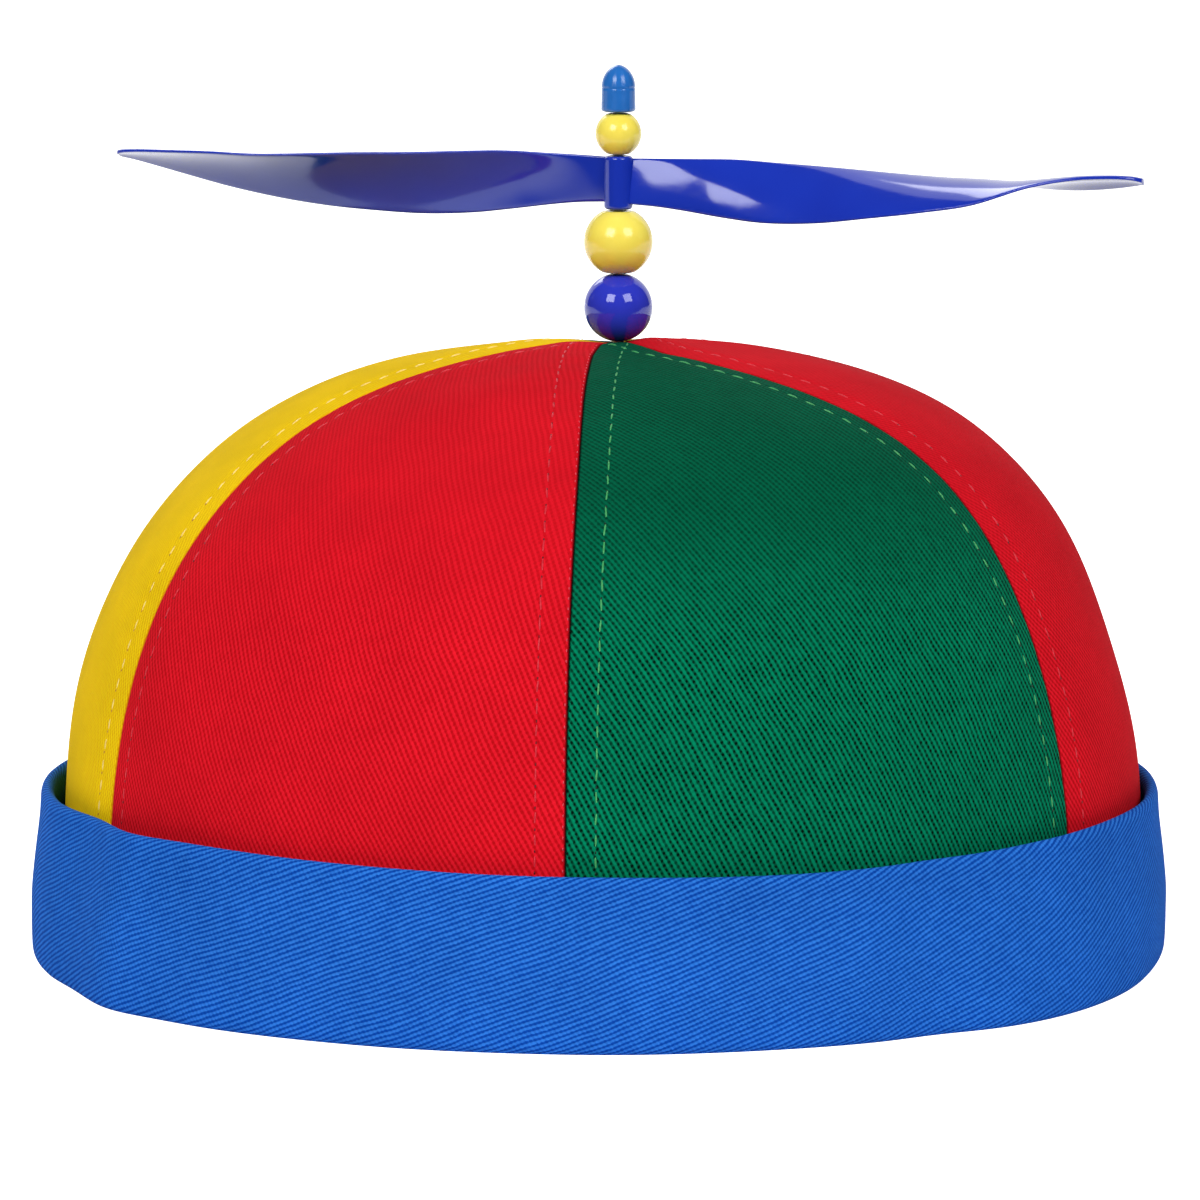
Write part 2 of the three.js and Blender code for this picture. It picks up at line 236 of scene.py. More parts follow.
# %% Paper
paper, paper_tree, paper_shader = new_material("matt_white_paper", {
    "Roughness": 0.9,
    "Specular IOR Level": 0.1,
    "Emission Color": linear("#ffffff"),
})
PAPER_GLOW = 1.0
PAPER_DARK_FROM = -0.3
PAPER_LIT_FROM = -0.15
seen = add_node(paper_tree, "ShaderNodeLightPath").outputs
spot = add_node(paper_tree, "ShaderNodeTexCoord").outputs["Object"]
spot = add_node(paper_tree, "ShaderNodeSeparateXYZ", {0: spot}).outputs
lit_part = {"Value": spot["Y"], "From Min": PAPER_DARK_FROM, "From Max": PAPER_LIT_FROM}
lit_part = add_node(paper_tree, "ShaderNodeMapRange", lit_part)
paper_tone = {"Factor": lit_part, "A": linear("#3c3c3c"), "B": linear("#f2f2f2")}
paper_tone = add_node(paper_tree, MIX, paper_tone, data_type="RGBA")
mirrored = {0: seen["Is Glossy Ray"], 1: lit_part}
mirrored = add_node(paper_tree, MATH, mirrored, operation="MULTIPLY")
either = {0: seen["Is Camera Ray"], 1: mirrored}
either = add_node(paper_tree, MATH, either, operation="MAXIMUM")
glow = add_node(paper_tree, MATH, {0: either, 1: PAPER_GLOW}, operation="MULTIPLY")
feed(paper_tree, paper_shader, {"Base Color": paper_tone, "Emission Strength": glow})
floor_mesh.materials.append(paper)
print("in mirrors the paper is lit from", PAPER_LIT_FROM, "m on")

# %% [markdown]
# ## Cotton twill
# Twill is woven so that each yarn steps one place sideways on every row, which leaves slanting
# ridges called wales, under a millimetre apart here. Between wales the weave is open and looks
# dark. A picture of cloth would repeat and blur, and modelled yarns would be far too many, so
# the wales are a sine wave over the flat cloth's own millimetres, and a second wave crosses it
# where each yarn dives under the next. A slow drift keeps the lines from being ruled, and spun
# yarn is thick and thin by turns, so each ridge is brighter in some places than in others.

# %% Cloth places
CLOTH_MAP = "cloth"
EDGE_MAP = "from_edge"


def cloth_places(tree, slope):
    """The flat cloth's millimetres, and the same turned until X runs along the wales. slope is
    the wales' angle on the cloth in degrees."""
    cloth = add_node(tree, "ShaderNodeUVMap", uv_map=CLOTH_MAP)
    turn = (0, 0, -slope * DEGREE)
    turned = add_node(tree, "ShaderNodeMapping", {"Vector": cloth, "Rotation": turn})
    return cloth, turned


print("the twill reads the maps", CLOTH_MAP, "and", EDGE_MAP)

# %% Yarn
FIBRES_PER_MM = 1.9
THICK_AND_THIN = (0.3, 0.95)


def yarn_noises(tree, turned, wale):
    """fibres is fine and even. thickness runs along each yarn, thick and thin by turns."""
    fine = {"Vector": turned, "Scale": FIBRES_PER_MM, "Detail": 4.0, "Roughness": 0.7}
    fibres = add_node(tree, "ShaderNodeTexNoise", fine)
    along, across = THICK_AND_THIN
    drawn_out = {"Vector": turned, "Scale": (along / wale, across / wale, 1)}
    drawn_out = add_node(tree, "ShaderNodeMapping", drawn_out)
    spun = {"Vector": drawn_out, "Scale": 1.0, "Detail": 2.0, "Roughness": 0.6}
    thickness = add_node(tree, "ShaderNodeTexNoise", spun)
    return fibres, thickness


print("a thick place runs on for about", round(1 / THICK_AND_THIN[0], 1), "wales")

# %% Wales
DRIFT_PER_MM = 0.04
DRIFT = 2.2
FRAY = 0.5
DIVE_SLANT = 0.2
RIDGE_FROM = -0.95
RIDGE_FULL = 0.6


def wave(tree, along, length):
    turns = add_node(tree, MATH, {0: along, 1: 2 * math.pi / length}, operation="MULTIPLY")
    return add_node(tree, MATH, {0: turns}, operation="SINE")


def wales(tree, wale, slope, dive):
    """Returns how high the ridges stand and how far the yarns are sunk, from 0 to 1, and the
    yarn's two noises. wale and dive are the two waves' lengths in millimetres."""
    cloth, turned = cloth_places(tree, slope)
    fibres, thickness = yarn_noises(tree, turned, wale)
    slow = {"Vector": cloth, "Scale": DRIFT_PER_MM, "Detail": 3.0, "Roughness": 0.5}
    drift = add_node(tree, "ShaderNodeTexNoise", slow)
    place = add_node(tree, "ShaderNodeSeparateXYZ", {0: turned}).outputs
    across = layered(tree, place["Y"], (drift, DRIFT), (fibres, FRAY * wale))
    ridge = {"Value": wave(tree, across, wale), "From Min": RIDGE_FROM, "From Max": RIDGE_FULL}
    ridge = add_node(tree, "ShaderNodeMapRange", ridge, interpolation_type="SMOOTHSTEP")
    skewed = layered(tree, place["X"], (across, DIVE_SLANT))
    sunk = layered(tree, 0.5, (wave(tree, skewed, dive), 0.5))
    return ridge, sunk, fibres, thickness


print("wales drift by up to", DRIFT, "mm")

# %% [markdown]
# Dye takes unevenly, in soft patches about 20 mm wide. Over the top of the crown the gores are
# pulled and pressed over a form, which closes the weave, so its wales lie flatter there. The top
# is also painted darker, a painted shade for cloth that faces up and gets less light. Along the
# turned edges the cloth is painted dark too, a painted shade in the crease of each seam.

# %% Dye, pressing and painted shade
EDGE_SHADE_WIDTH = 0.42
PRESSED_AND_SHADED_FROM = 60 * MM
PRESSED_AND_SHADED_TO = 92 * MM


def dye_tone(tree, spread):
    cloth = add_node(tree, "ShaderNodeUVMap", uv_map=CLOTH_MAP)
    patches = {"Vector": cloth, "Scale": 0.05, "Detail": 3.0, "Roughness": 0.6}
    noise = add_node(tree, "ShaderNodeTexNoise", patches)
    shades = {"Value": noise, "From Min": 0.3, "From Max": 0.7, "To Min": 1 - spread}
    return add_node(tree, "ShaderNodeMapRange", shades)


# Painted shade: this mask darkens the cloth along its turned edges, in the crease of each seam.
def edge_shade(tree):
    off = add_node(tree, "ShaderNodeAttribute", attribute_name=EDGE_MAP).outputs["Fac"]
    dark = {"Value": off, "From Max": EDGE_SHADE_WIDTH}
    return add_node(tree, "ShaderNodeMapRange", dark, interpolation_type="SMOOTHSTEP")


# Painted shade: the share that closes the weave over the top also paints the top darker, as cloth
# that faces up gets less light.
def pressed_and_shaded_share(tree):
    place = add_node(tree, "ShaderNodeTexCoord")
    height = add_node(tree, "ShaderNodeSeparateXYZ", {0: place.outputs["Object"]})
    rising = {"Value": height.outputs["Z"], "From Min": PRESSED_AND_SHADED_FROM, "From Max": PRESSED_AND_SHADED_TO}
    return add_node(tree, "ShaderNodeMapRange", rising, interpolation_type="SMOOTHSTEP")


print("the weave closes from", PRESSED_AND_SHADED_FROM, "to", PRESSED_AND_SHADED_TO, "m up")

# %% [markdown]
# Fibres stand off the yarns, which gives cotton a faint sheen of its own colour and almost no
# gloss. The groove between wales is painted darker, a painted shade between the ridges, and the
# pits, where the weave opens, are painted darkest, a painted shade in the holes. Green is the
# openest weave of the four, and yellow the closest.

# %% Weave colour
FIBRE_SHARE = 0.9
YARN_SHARE = 0.9
SUNK_SHARE = -0.28
TONE_SHIFT = 0.9
PIT_SHADE_STRENGTH = 1.4
LEAST_GAPING = 0.35
THIN_YARN = 0.38
THICK_YARN = 0.62


def weave_colour(tree, colours, weave, openness):
    """colours are the ridge's, then the painted shade's in the groove and in the pit, and
    openness is how much of the pit's painted shade shows."""
    ridge, sunk, fibres, thickness = weave
    # The groove's and the pit's colours are painted shade, darker where the weave is sunk or
    # open.
    ridge_colour, groove_shade_colour, pit_shade_colour = (linear(colour) for colour in colours[:3])
    layers = ((fibres, FIBRE_SHARE), (thickness, YARN_SHARE), (sunk, SUNK_SHARE))
    tone = layered(tree, ridge, *layers)
    tone = add_node(tree, MATH, {0: tone, 1: TONE_SHIFT}, operation="SUBTRACT")
    mixed = {"Factor": tone, "A": groove_shade_colour, "B": ridge_colour}
    ridges_and_groove_shade = add_node(tree, MIX, mixed, data_type="RGBA")
    # Painted shade in the pits, where the weave opens: most where the yarn is thin.
    low = add_node(tree, MATH, {0: 1.0, 1: ridge}, operation="SUBTRACT")
    pit = add_node(tree, MATH, {0: low, 1: sunk}, operation="MULTIPLY")
    gaping = {"Value": thickness, "From Min": THICK_YARN, "From Max": THIN_YARN}
    gaping = {**gaping, "To Min": LEAST_GAPING, "To Max": openness}
    gaping = add_node(tree, "ShaderNodeMapRange", gaping)
    pit = add_node(tree, MATH, {0: pit, 1: gaping}, operation="MULTIPLY")
    pit = {0: pit, 1: PIT_SHADE_STRENGTH}
    pit = add_node(tree, MATH, pit, operation="MULTIPLY", use_clamp=True)
    return add_node(tree, MIX, {"Factor": pit, "A": ridges_and_groove_shade, "B": pit_shade_colour}, data_type="RGBA")


print("pits open fully where the yarn's noise is under", THIN_YARN)

# %% Cotton twill
CLOSING = 0.55
GROOVE_SHARE = 0.55
DYE_SPREAD = 0.14
HEIGHT_SHARES = (-0.3, 0.5, 0.8)


def cotton_twill(name, colours, wale, slope, dive, openness, relief, painted_top_shade):
    """colours are the ridge's, then those of the painted shade in the groove, in the pit and
    along the turned edge. relief is how high the ridges are in millimetres. The last argument is
    how much darker the top of the crown is painted, a painted shade for cloth that faces up and
    gets less light."""
    material, tree, shader = new_material(name, {
        "Roughness": 0.9,
        "Specular IOR Level": 0.03,
        "Sheen Weight": 0.03,
        "Sheen Roughness": 0.5,
        "Sheen Tint": linear(colours[0]),
    })
    weave = wales(tree, wale, slope, dive)
    weave_with_shade = weave_colour(tree, colours, weave, openness)
    pressed_and_shaded = pressed_and_shaded_share(tree)
    both = zip(linear(colours[0]), linear(colours[1]))
    flat_tone = [(1 - GROOVE_SHARE) * a + GROOVE_SHARE * b for a, b in both]
    closing = add_node(tree, MATH, {0: pressed_and_shaded, 1: CLOSING}, operation="MULTIPLY")
    closed = {"Factor": closing, "A": weave_with_shade, "B": flat_tone}
    closed = add_node(tree, MIX, closed, data_type="RGBA")
    # painted shade: the top is painted darker by its share, times the random dye patches
    shade = {0: layered(tree, 1.0, (pressed_and_shaded, -painted_top_shade)), 1: dye_tone(tree, DYE_SPREAD)}
    shade = add_node(tree, MATH, shade, operation="MULTIPLY")
    dyed_and_shaded = {"Factor": 1.0, "A": closed, "B": shade}
    dyed_and_shaded = add_node(tree, MIX, dyed_and_shaded, data_type="RGBA", blend_type="MULTIPLY")
    # painted shade along the turned edges, in the fourth colour
    dyed_and_shaded = {"Factor": edge_shade(tree), "A": linear(colours[3]), "B": dyed_and_shaded}
    dyed_and_shaded = add_node(tree, MIX, dyed_and_shaded, data_type="RGBA")
    height = layered(tree, weave[0], *zip(weave[1:], HEIGHT_SHARES))
    bumped = add_node(tree, "ShaderNodeBump", {"Height": height, "Distance": relief * MM})
    feed(tree, shader, {"Base Color": dyed_and_shaded, "Normal": bumped})
    return material


print("pressing closes the weave by", CLOSING)

# %% Four cloths
# Each cloth's colours: the ridge's, then painted shade for the groove, the pit and the turned
# edge.
red_twill = cotton_twill(
    "red_cotton_twill", ("#ec1a2c", "#cc0e1a", "#9c080c", "#5c060a"),
    wale=0.89, slope=122, dive=0.85, openness=0.3, relief=0.035, painted_top_shade=0.04,
)
green_twill = cotton_twill(
    "green_cotton_twill", ("#00875f", "#00563b", "#00120b", "#001a11"),
    wale=0.97, slope=115, dive=0.8, openness=1.0, relief=0.07, painted_top_shade=0.4,
)
yellow_twill = cotton_twill(
    "yellow_cotton_twill", ("#ffdc12", "#f6c408", "#e09c06", "#d8780c"),
    wale=0.7, slope=122, dive=0.7, openness=0.25, relief=0.05, painted_top_shade=0.0,
)
blue_twill = cotton_twill(
    "blue_cotton_twill", ("#307de0", "#0c4cb0", "#0a3894", "#0a3894"),
    wale=0.83, slope=22, dive=0.75, openness=0.45, relief=0.06, painted_top_shade=0.0,
)
print("cloths", [m.name for m in (red_twill, green_twill, yellow_twill, blue_twill)])

# %% [markdown]
# ## Meshes from rows of points
# Every cloth piece is a wall: a row of closed loops, each running along the outer face and back
# along the inner one. One function joins such loops into faces and writes the flat cloth's
# millimetres as a UV map, which the twill follows.


# %% Bumps and turns
def bump(distance, spread):
    return np.exp(-((distance / spread) ** 2))


def turn_between(a, b):
    return (a - b + math.pi) % (2 * math.pi) - math.pi


print("a bump has", round(float(bump(1.0, 1.0)), 2), "of its height left at its spread")


# %% A piece from points
def object_from(name, points, faces, material, cloth):
    """points are in millimetres. cloth gives each face corner's place on the flat cloth, and
    how far it is from a turned edge."""
    mesh = bpy.data.meshes.new(name)
    mesh.from_pydata((np.asarray(points) * MM).tolist(), [], faces)
    mesh.materials.append(material)
    mesh.shade_smooth()
    cloth = np.asarray(cloth, np.float32)
    layer = mesh.uv_layers.new(name=CLOTH_MAP)
    layer.data.foreach_set("uv", np.ascontiguousarray(cloth[:, :2]).ravel())
    edges = mesh.attributes.new(EDGE_MAP, "FLOAT", "CORNER")
    edges.data.foreach_set("value", np.ascontiguousarray(cloth[:, 2]))
    return linked_object(name, mesh)


print("cloth pieces carry the maps", CLOTH_MAP, "and", EDGE_MAP)


# %% A wall from loops
def wall_from(name, loops, flat, material, closed_row):
    """loops and flat are rows x points x 3, and flat has one more row if the wall closes."""
    rows, size = loops.shape[:2]
    faces = []
    corners = []
    for i in range(rows if closed_row else rows - 1):
        for j in range(size):
            k = (j + 1) % size
            quad = [(i, j), (i, k), (i + 1, k), (i + 1, j)]
            faces.append([(r % rows) * size + c for r, c in quad])
            corners.extend(flat[r, c] for r, c in quad)
    if not closed_row:
        for j in range(size // 2 - 1):
            far = size - 1 - j
            first = [(0, j), (0, far), (0, far - 1), (0, j + 1)]
            last = [(rows - 1, j), (rows - 1, j + 1), (rows - 1, far - 1), (rows - 1, far)]
            for quad in (first, last):
                faces.append([r * size + c for r, c in quad])
                corners.extend(flat[r, c] for r, c in quad)
    return object_from(name, loops.reshape(-1, 3), faces, material, corners)


def dress(piece, body, slot_name, *nodes):
    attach(piece, body)
    if nodes:
        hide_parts(*nodes)
    triangles = sum(len(face.vertices) - 2 for face in piece.data.polygons)
    print(piece.name, "has", triangles, "triangles and rides on", body)


# %% [markdown]
# ## Crown
# The crown is a round cap cut in six gores. Its side view is a softened ellipse, so a point is
# given by its azimuth and by the length of cloth from the foot up to it. Real gores are sewn
# with their edges turned under, which leaves a shallow valley along each seam, and the cloth
# between seams is never quite even. The swells and the seam valleys below repeat those of the
# part, and the ripples are a few soft waves that the hand of the sewer leaves.

# %% Crown surface
PLAN_DEPTH = 0.98
CROWN_RADIUS = 94.5
CROWN_RISE = 95.6
CROWN_FOOT = 10.35
SKIRT_FOOT = 2.7
SIDE_POWER = 0.754
TOP_POWER = 0.788
CREST_RISE = 1.5
CREST_SPREAD = 26
DIMPLE_DEPTH = 1.2
DIMPLE_SPREAD = 5.5
POST_HOLE = 1.3

latitudes = math.pi / 2 * (1 - (1 - np.linspace(0, 1, 1200)) ** 1.5)
crown_radii = CROWN_RADIUS * np.clip(np.cos(latitudes), 0, None) ** SIDE_POWER
crown_heights = CROWN_FOOT + CROWN_RISE * np.sin(latitudes) ** TOP_POWER
crown_heights += CREST_RISE * bump(crown_radii, CREST_SPREAD)
crown_heights -= DIMPLE_DEPTH * bump(crown_radii, DIMPLE_SPREAD)
kept = crown_radii >= POST_HOLE
meridian_radii = np.append(CROWN_RADIUS, crown_radii[kept])
meridian_heights = np.append(SKIRT_FOOT, crown_heights[kept])
steps = np.hypot(np.diff(meridian_radii), np.diff(meridian_heights))
meridian_length = np.append(0, np.cumsum(steps))
meridian_out = np.gradient(meridian_heights, meridian_length)
meridian_up = -np.gradient(meridian_radii, meridian_length)
meridian_way = (meridian_out, meridian_up)


def on_meridian(length, *values):
    return [np.interp(length, meridian_length, value) for value in values]


print("cloth from foot to pole", round(meridian_length[-1], 1), "mm")

# %% [markdown]
# A seam is a line from the foot to the pole. Towards the top each strays sideways, most of all
# the one between the two panels on the right. The cloth dips along a seam, swells a little at
# some places, and behind the pole it falls away.

# %% Seams
SEAM_AZIMUTHS = (-63, -3.5, 57.5, 117, 177, 237)
SEAM_SHARES = (0.1, -0.17, -1, -0.5, 0, 0)
SEAM_SWAY = 7.6
SWAY_INNER = 18
SWAY_OUTER = 54
PANELS = len(SEAM_AZIMUTHS)


def seam_azimuth(order, radius):
    turns, order = divmod(order, PANELS)
    stray = SEAM_SHARES[order] * SEAM_SWAY / np.maximum(radius, SWAY_INNER)
    fade = bump(radius**2, SWAY_OUTER**2)
    return SEAM_AZIMUTHS[order] * DEGREE + turns * 2 * math.pi + stray * fade


print("seams at the top", [round(float(seam_azimuth(i, 0.0) / DEGREE)) for i in range(PANELS)])

# %% Swells and seam valleys
SEAM_DEPTH = 0.5
SEAM_SPREAD = 4
SEAM_FADE = 12
SWELLS = (
    # azimuth, width, height, tallness, push
    (87, 34, 0.8, 0.17, 0.014),
    (87, 30, 0.18, 0.2, 0.01),
    (-93, 34, 0.775, 0.13, -0.006),
)


def crown_push(azimuth, off_seam, radius, height):
    """How far the cloth stands out of the plain crown, in millimetres."""
    push = -SEAM_DEPTH * bump(off_seam, SEAM_SPREAD) * np.minimum(1, radius / SEAM_FADE)
    for middle, width, level, tall, swell in SWELLS:
        side = bump(turn_between(azimuth, middle * DEGREE), width * DEGREE)
        near = bump((height - CROWN_FOOT) / CROWN_RISE - level, tall)
        push = push + swell * CROWN_RADIUS * side * near
    return push


seam_push = float(crown_push(0.0, 0.0, CROWN_RADIUS, CROWN_FOOT))
print("a seam lies", round(-seam_push, 1), "mm deep at the foot")

# %% Crown points
CROWN_LEAN = 1.3
POLE_SHIFT = 3.2
POLE_BLEND = 8
BACK_FALL = 0.17
BACK_EASE = 2
BACK_REACH = 28


def around(azimuth, radius, height, centre=0.0):
    """Azimuth 0 is the front, and it grows towards +X."""
    x = centre + radius * np.sin(azimuth)
    y = -radius * np.cos(azimuth) * PLAN_DEPTH
    return np.stack(np.broadcast_arrays(x, y, height), axis=-1)


def crown_point(azimuth, off_seam, length, depth):
    """length is the cloth's from the foot up, and depth is under its outer face."""
    radius, height = on_meridian(length, meridian_radii, meridian_heights)
    out, up = on_meridian(length, *meridian_way)
    push = crown_push(azimuth, off_seam, radius, height) - depth
    lean = CROWN_LEAN * (1 - radius / CROWN_RADIUS)
    near_pole = np.maximum(0, (POLE_BLEND - radius) / (POLE_BLEND - POST_HOLE))
    centre = lean + (POLE_SHIFT - lean) * near_pole
    points = around(azimuth, radius + push * out, height + push * up, centre)
    behind = (points[..., 1] + np.hypot(points[..., 1], BACK_EASE)) / 2
    points[..., 2] -= BACK_FALL * behind * bump(radius, BACK_REACH)
    return points


front_foot = crown_point(0.0, 0.0, 0.0, 0.0)
print("crown's front foot is at", np.round(front_foot, 1))

# %% [markdown]
# ## Panels
# Each panel is the same gore with its own colour. Its long edges are rounded over, as a turned
# edge is, and meet the next panel's in a fine dark line, which is painted shade. Two rows of
# machine stitches hold each seam flat, and pull the cloth in a little where each stitch goes
# down.

# %% Ripples
STITCH_PITCH = 3.5
ROW_OFFSET = 5.0
PUCKER_DEPTH = 0.16
PUCKER_WIDTH = 0.8
SEAM_WAVE = 0.07
SEAM_WAVE_FROM = 2.6
SEAM_WAVE_WIDTH = 2.4
LONG_WAVE = 0.13
CROSS_WAVE = 0.1
CALM_BY_SEAM = 9


def panel_ripple(azimuth, length, off_seam, phase):
    """How far the sewn cloth stands out of the plain crown, in millimetres."""
    puckers = 0.5 + 0.5 * np.cos(2 * math.pi * length / STITCH_PITCH)
    drawn_in = -PUCKER_DEPTH * bump(off_seam - ROW_OFFSET, PUCKER_WIDTH) * (0.5 + 0.5 * puckers)
    by_seam = bump(off_seam - SEAM_WAVE_FROM, SEAM_WAVE_WIDTH)
    seam_waves = SEAM_WAVE * np.sin(length * 0.62 + phase) * by_seam
    across = azimuth * PANELS
    body = LONG_WAVE * np.sin(length * 0.17 + 1.4 * np.sin(across + phase) + 2 * phase)
    body = body + CROSS_WAVE * np.sin(length * 0.093 - 1.1 * across + 3 * phase)
    return drawn_in + seam_waves + body * (1 - bump(off_seam, CALM_BY_SEAM))


print("a stitch draws the cloth in", round(-float(panel_ripple(0, 0, ROW_OFFSET, 0)), 2), "mm")

# %% Places on a gore
SEAM_GAP = 0.004
EDGE_RADIUS = 0.55
EDGE_STEPS = np.array([0, 0.06, 0.2, 0.42, 0.7, 1.0])
PANEL_ROWS = 230
PANEL_COLUMNS = 72


def gore_grid(order):
    """The cloth's length from the foot, the place across it from the left edge, and its width.
    Columns lie close together over the turned edges."""
    lengths = np.linspace(0, meridian_length[-1], PANEL_ROWS)[:, None]
    (radii,) = on_meridian(lengths, meridian_radii)
    width = (seam_azimuth(order + 1, radii) - seam_azimuth(order, radii)) * radii - SEAM_GAP
    edge = np.minimum(EDGE_RADIUS, 0.2 * width)
    middle = np.linspace(0, 1, PANEL_COLUMNS)[None, 1:-1]
    turned_in = EDGE_STEPS * edge
    spread = edge + (width - 2 * edge) * middle
    across = np.hstack([turned_in, spread, width - turned_in[:, ::-1]])
    return lengths, radii, across, width, edge


print("front panel is", round(float(gore_grid(0)[3].max()), 1), "mm wide")

# %% Panel
PANEL_WALL = 1.2
PHASE_STEP = 1.9


def panel(name, order, material):
    lengths, radii, across, width, edge = gore_grid(order)
    azimuth = seam_azimuth(order, radii) + (across + SEAM_GAP / 2) / radii
    off_edge = np.minimum(across, width - across)
    short = np.clip(edge - off_edge, 0, None)
    rounding = edge - np.sqrt(np.clip(edge**2 - short**2, 0, None))
    ripple = panel_ripple(azimuth, lengths, off_edge, order * PHASE_STEP)
    ripple = ripple * np.minimum(1, radii / SEAM_FADE)
    outside = crown_point(azimuth, off_edge, lengths, rounding - ripple)
    inside = crown_point(azimuth, off_edge, lengths, PANEL_WALL - rounding - ripple)
    loops = np.concatenate([outside, inside[:, ::-1]], axis=1)
    flat = np.stack(np.broadcast_arrays(across - width / 2, lengths, off_edge), axis=-1)
    flat = np.concatenate([flat, flat[:, ::-1]], axis=1)
    return wall_from(name, loops, flat, material, closed_row=False)


print("a panel's wall is", PANEL_WALL, "mm")

# %% Six panels
for order, (node, cloth, slot_name) in enumerate((
    ("panel_red_front", red_twill, "red_twill"),
    ("panel_green_front", green_twill, "green_twill"),
    ("panel_red_right", red_twill, "red_twill"),
    ("panel_yellow_back", yellow_twill, "yellow_twill"),
    ("panel_green_back", green_twill, "green_twill"),
    ("panel_yellow_left", yellow_twill, "yellow_twill"),
)):
    dress(panel("sewn_" + node, order, cloth), "cap", slot_name, node)

# %% [markdown]
# ## Cuff
# The cuff is one band of twill folded double, sewn under the crown's edge and turned up on the
# outside. Its section is drawn once: up the full outer face, over the rounded fold at the rim,
# down inside, under the crown's edge and up again behind it. The section is then carried round
# the crown, and a few soft folds push it in and out as they do on the real cap. Three small
# ones are a little stronger than the part's.

# %% Cuff section
CUFF_HEIGHT = 29.2
CUFF_SWELL = 5.2
CUFF_WALL = 2.4
INSIDE_FROM = 0.12
CUFF_FACE = np.array([
    # how high up the face, and how much of the swell it stands out
    (0, 0.8), (0.037, 0.95), (0.12, 0.99), (0.27, 1), (0.41, 0.99), (0.61, 0.88), (0.81, 0.74),
    (0.935, 0.69),
])


def smooth_line(points, per_span):
    """A Catmull-Rom curve through the points."""
    ends = np.vstack([2 * points[0] - points[1], points, 2 * points[-1] - points[-2]])
    line = []
    for a, b, c, d in zip(ends, ends[1:], ends[2:], ends[3:]):
        for t in np.linspace(0, 1, per_span, endpoint=False):
            bend = (2 * a - 5 * b + 4 * c - d) * t**2 + (3 * b - a - 3 * c + d) * t**3
            line.append(b + ((c - a) * t + bend) / 2)
    return np.array([*line, points[-1]])


face = smooth_line(CUFF_FACE, 5)
outer = np.column_stack([CROWN_RADIUS + face[:, 1] * CUFF_SWELL, face[:, 0] * CUFF_HEIGHT])
rim_angle = np.linspace(0, math.pi, 11)[1:-1]
rim_out = np.cos(rim_angle) * CUFF_WALL / 2
rim_up = np.sin(rim_angle) * (CUFF_HEIGHT - outer[-1, 1])
rim = outer[-1] - (CUFF_WALL / 2, 0) + np.column_stack([rim_out, rim_up])
inner = outer[outer[:, 1] >= INSIDE_FROM * CUFF_HEIGHT - 1e-6][::-2] - (CUFF_WALL, 0)
print("cuff stands", round(float(outer[:, 0].max()), 1), "mm from the middle")

# %% Cuff fold under the crown
CUFF_FLOOR = 2.4
SLOT_SLACK = 1.6
LEG_RADIUS = 92.5
LEG_WALL = 1.2
LEG_HEIGHT = 12
leg_angle = np.linspace(0, math.pi, 7)
leg_round = LEG_WALL / 2 * np.column_stack([np.cos(leg_angle), np.sin(leg_angle)])
leg_top = np.array([LEG_RADIUS, LEG_HEIGHT]) - LEG_WALL / 2 + leg_round
slot_floor = [(CROWN_RADIUS + SLOT_SLACK, CUFF_FLOOR), (LEG_RADIUS, CUFF_FLOOR)]
sole = [(91.3, 0.8), (91.55, 0.25), (92.1, 0), (94.3, 0), (96.5, 0)]
section = np.vstack([outer, rim, inner, slot_floor, leg_top, sole])
follows = np.ones(len(section))
follows[len(outer) + len(rim) + len(inner) :] = 0
print("section has", len(section), "points, and", int(follows.sum()), "follow the folds")

# %% Cuff folds
CUFF_FOLDS = (
    # azimuth, width, push, how much of it the rim shares, lift
    (-53, 21.5, 0.62, 0.1, 0),
    (49, 20.3, 0.67, 0.1, 0),
    (92, 14, -0.12, 0, 0),
    (34, 5, -0.2, 1, 0),
    (-53, 5, 0.22, 1, 0),
    (-64, 6, -0.2, 1, 0),
    (-42, 24, 0, 1, 0.02),
    (22, 18, 0, 1, -0.02),
)
CUFF_RIPPLES = (
    # height, how many round the cuff, slant, phase
    (0.12, 9, 2.2, 0),
    (0.08, 17, -3, 1),
)
CUFF_SEGMENTS = 400
azimuths = (np.arange(CUFF_SEGMENTS + 1) * 2 * math.pi / CUFF_SEGMENTS + math.pi)[:, None]
level = section[None, :, 1] / CUFF_HEIGHT
push = np.zeros((len(azimuths), len(section)))
lift = np.zeros_like(push)
for middle, width, fold, rim_share, rise in CUFF_FOLDS:
    near = bump(turn_between(azimuths, middle * DEGREE), width * DEGREE)
    push += fold * CUFF_SWELL * near * (1 - level * (1 - rim_share))
    lift += rise * CUFF_HEIGHT * near * level
for tall, count, slant, phase in CUFF_RIPPLES:
    push += tall * np.sin(count * azimuths + slant * level + phase)
print("folds stand out by up to", round(float(push.max()), 1), "mm")

# %% Cuff
cuff_points = around(azimuths, section[:, 0] + push * follows, section[:, 1] + lift * follows)
cuff_line = np.append(0, np.cumsum(np.hypot(*np.diff(section, axis=0).T)))
band = azimuths * (CROWN_RADIUS + CUFF_SWELL)
FAR_FROM_EDGE = 10.0
cuff_flat = np.stack(np.broadcast_arrays(band, cuff_line[None, :], FAR_FROM_EDGE), axis=-1)
cuff = wall_from("folded_cuff", cuff_points[:-1], cuff_flat, blue_twill, closed_row=True)
dress(cuff, "cap", "blue_twill", "cuff")

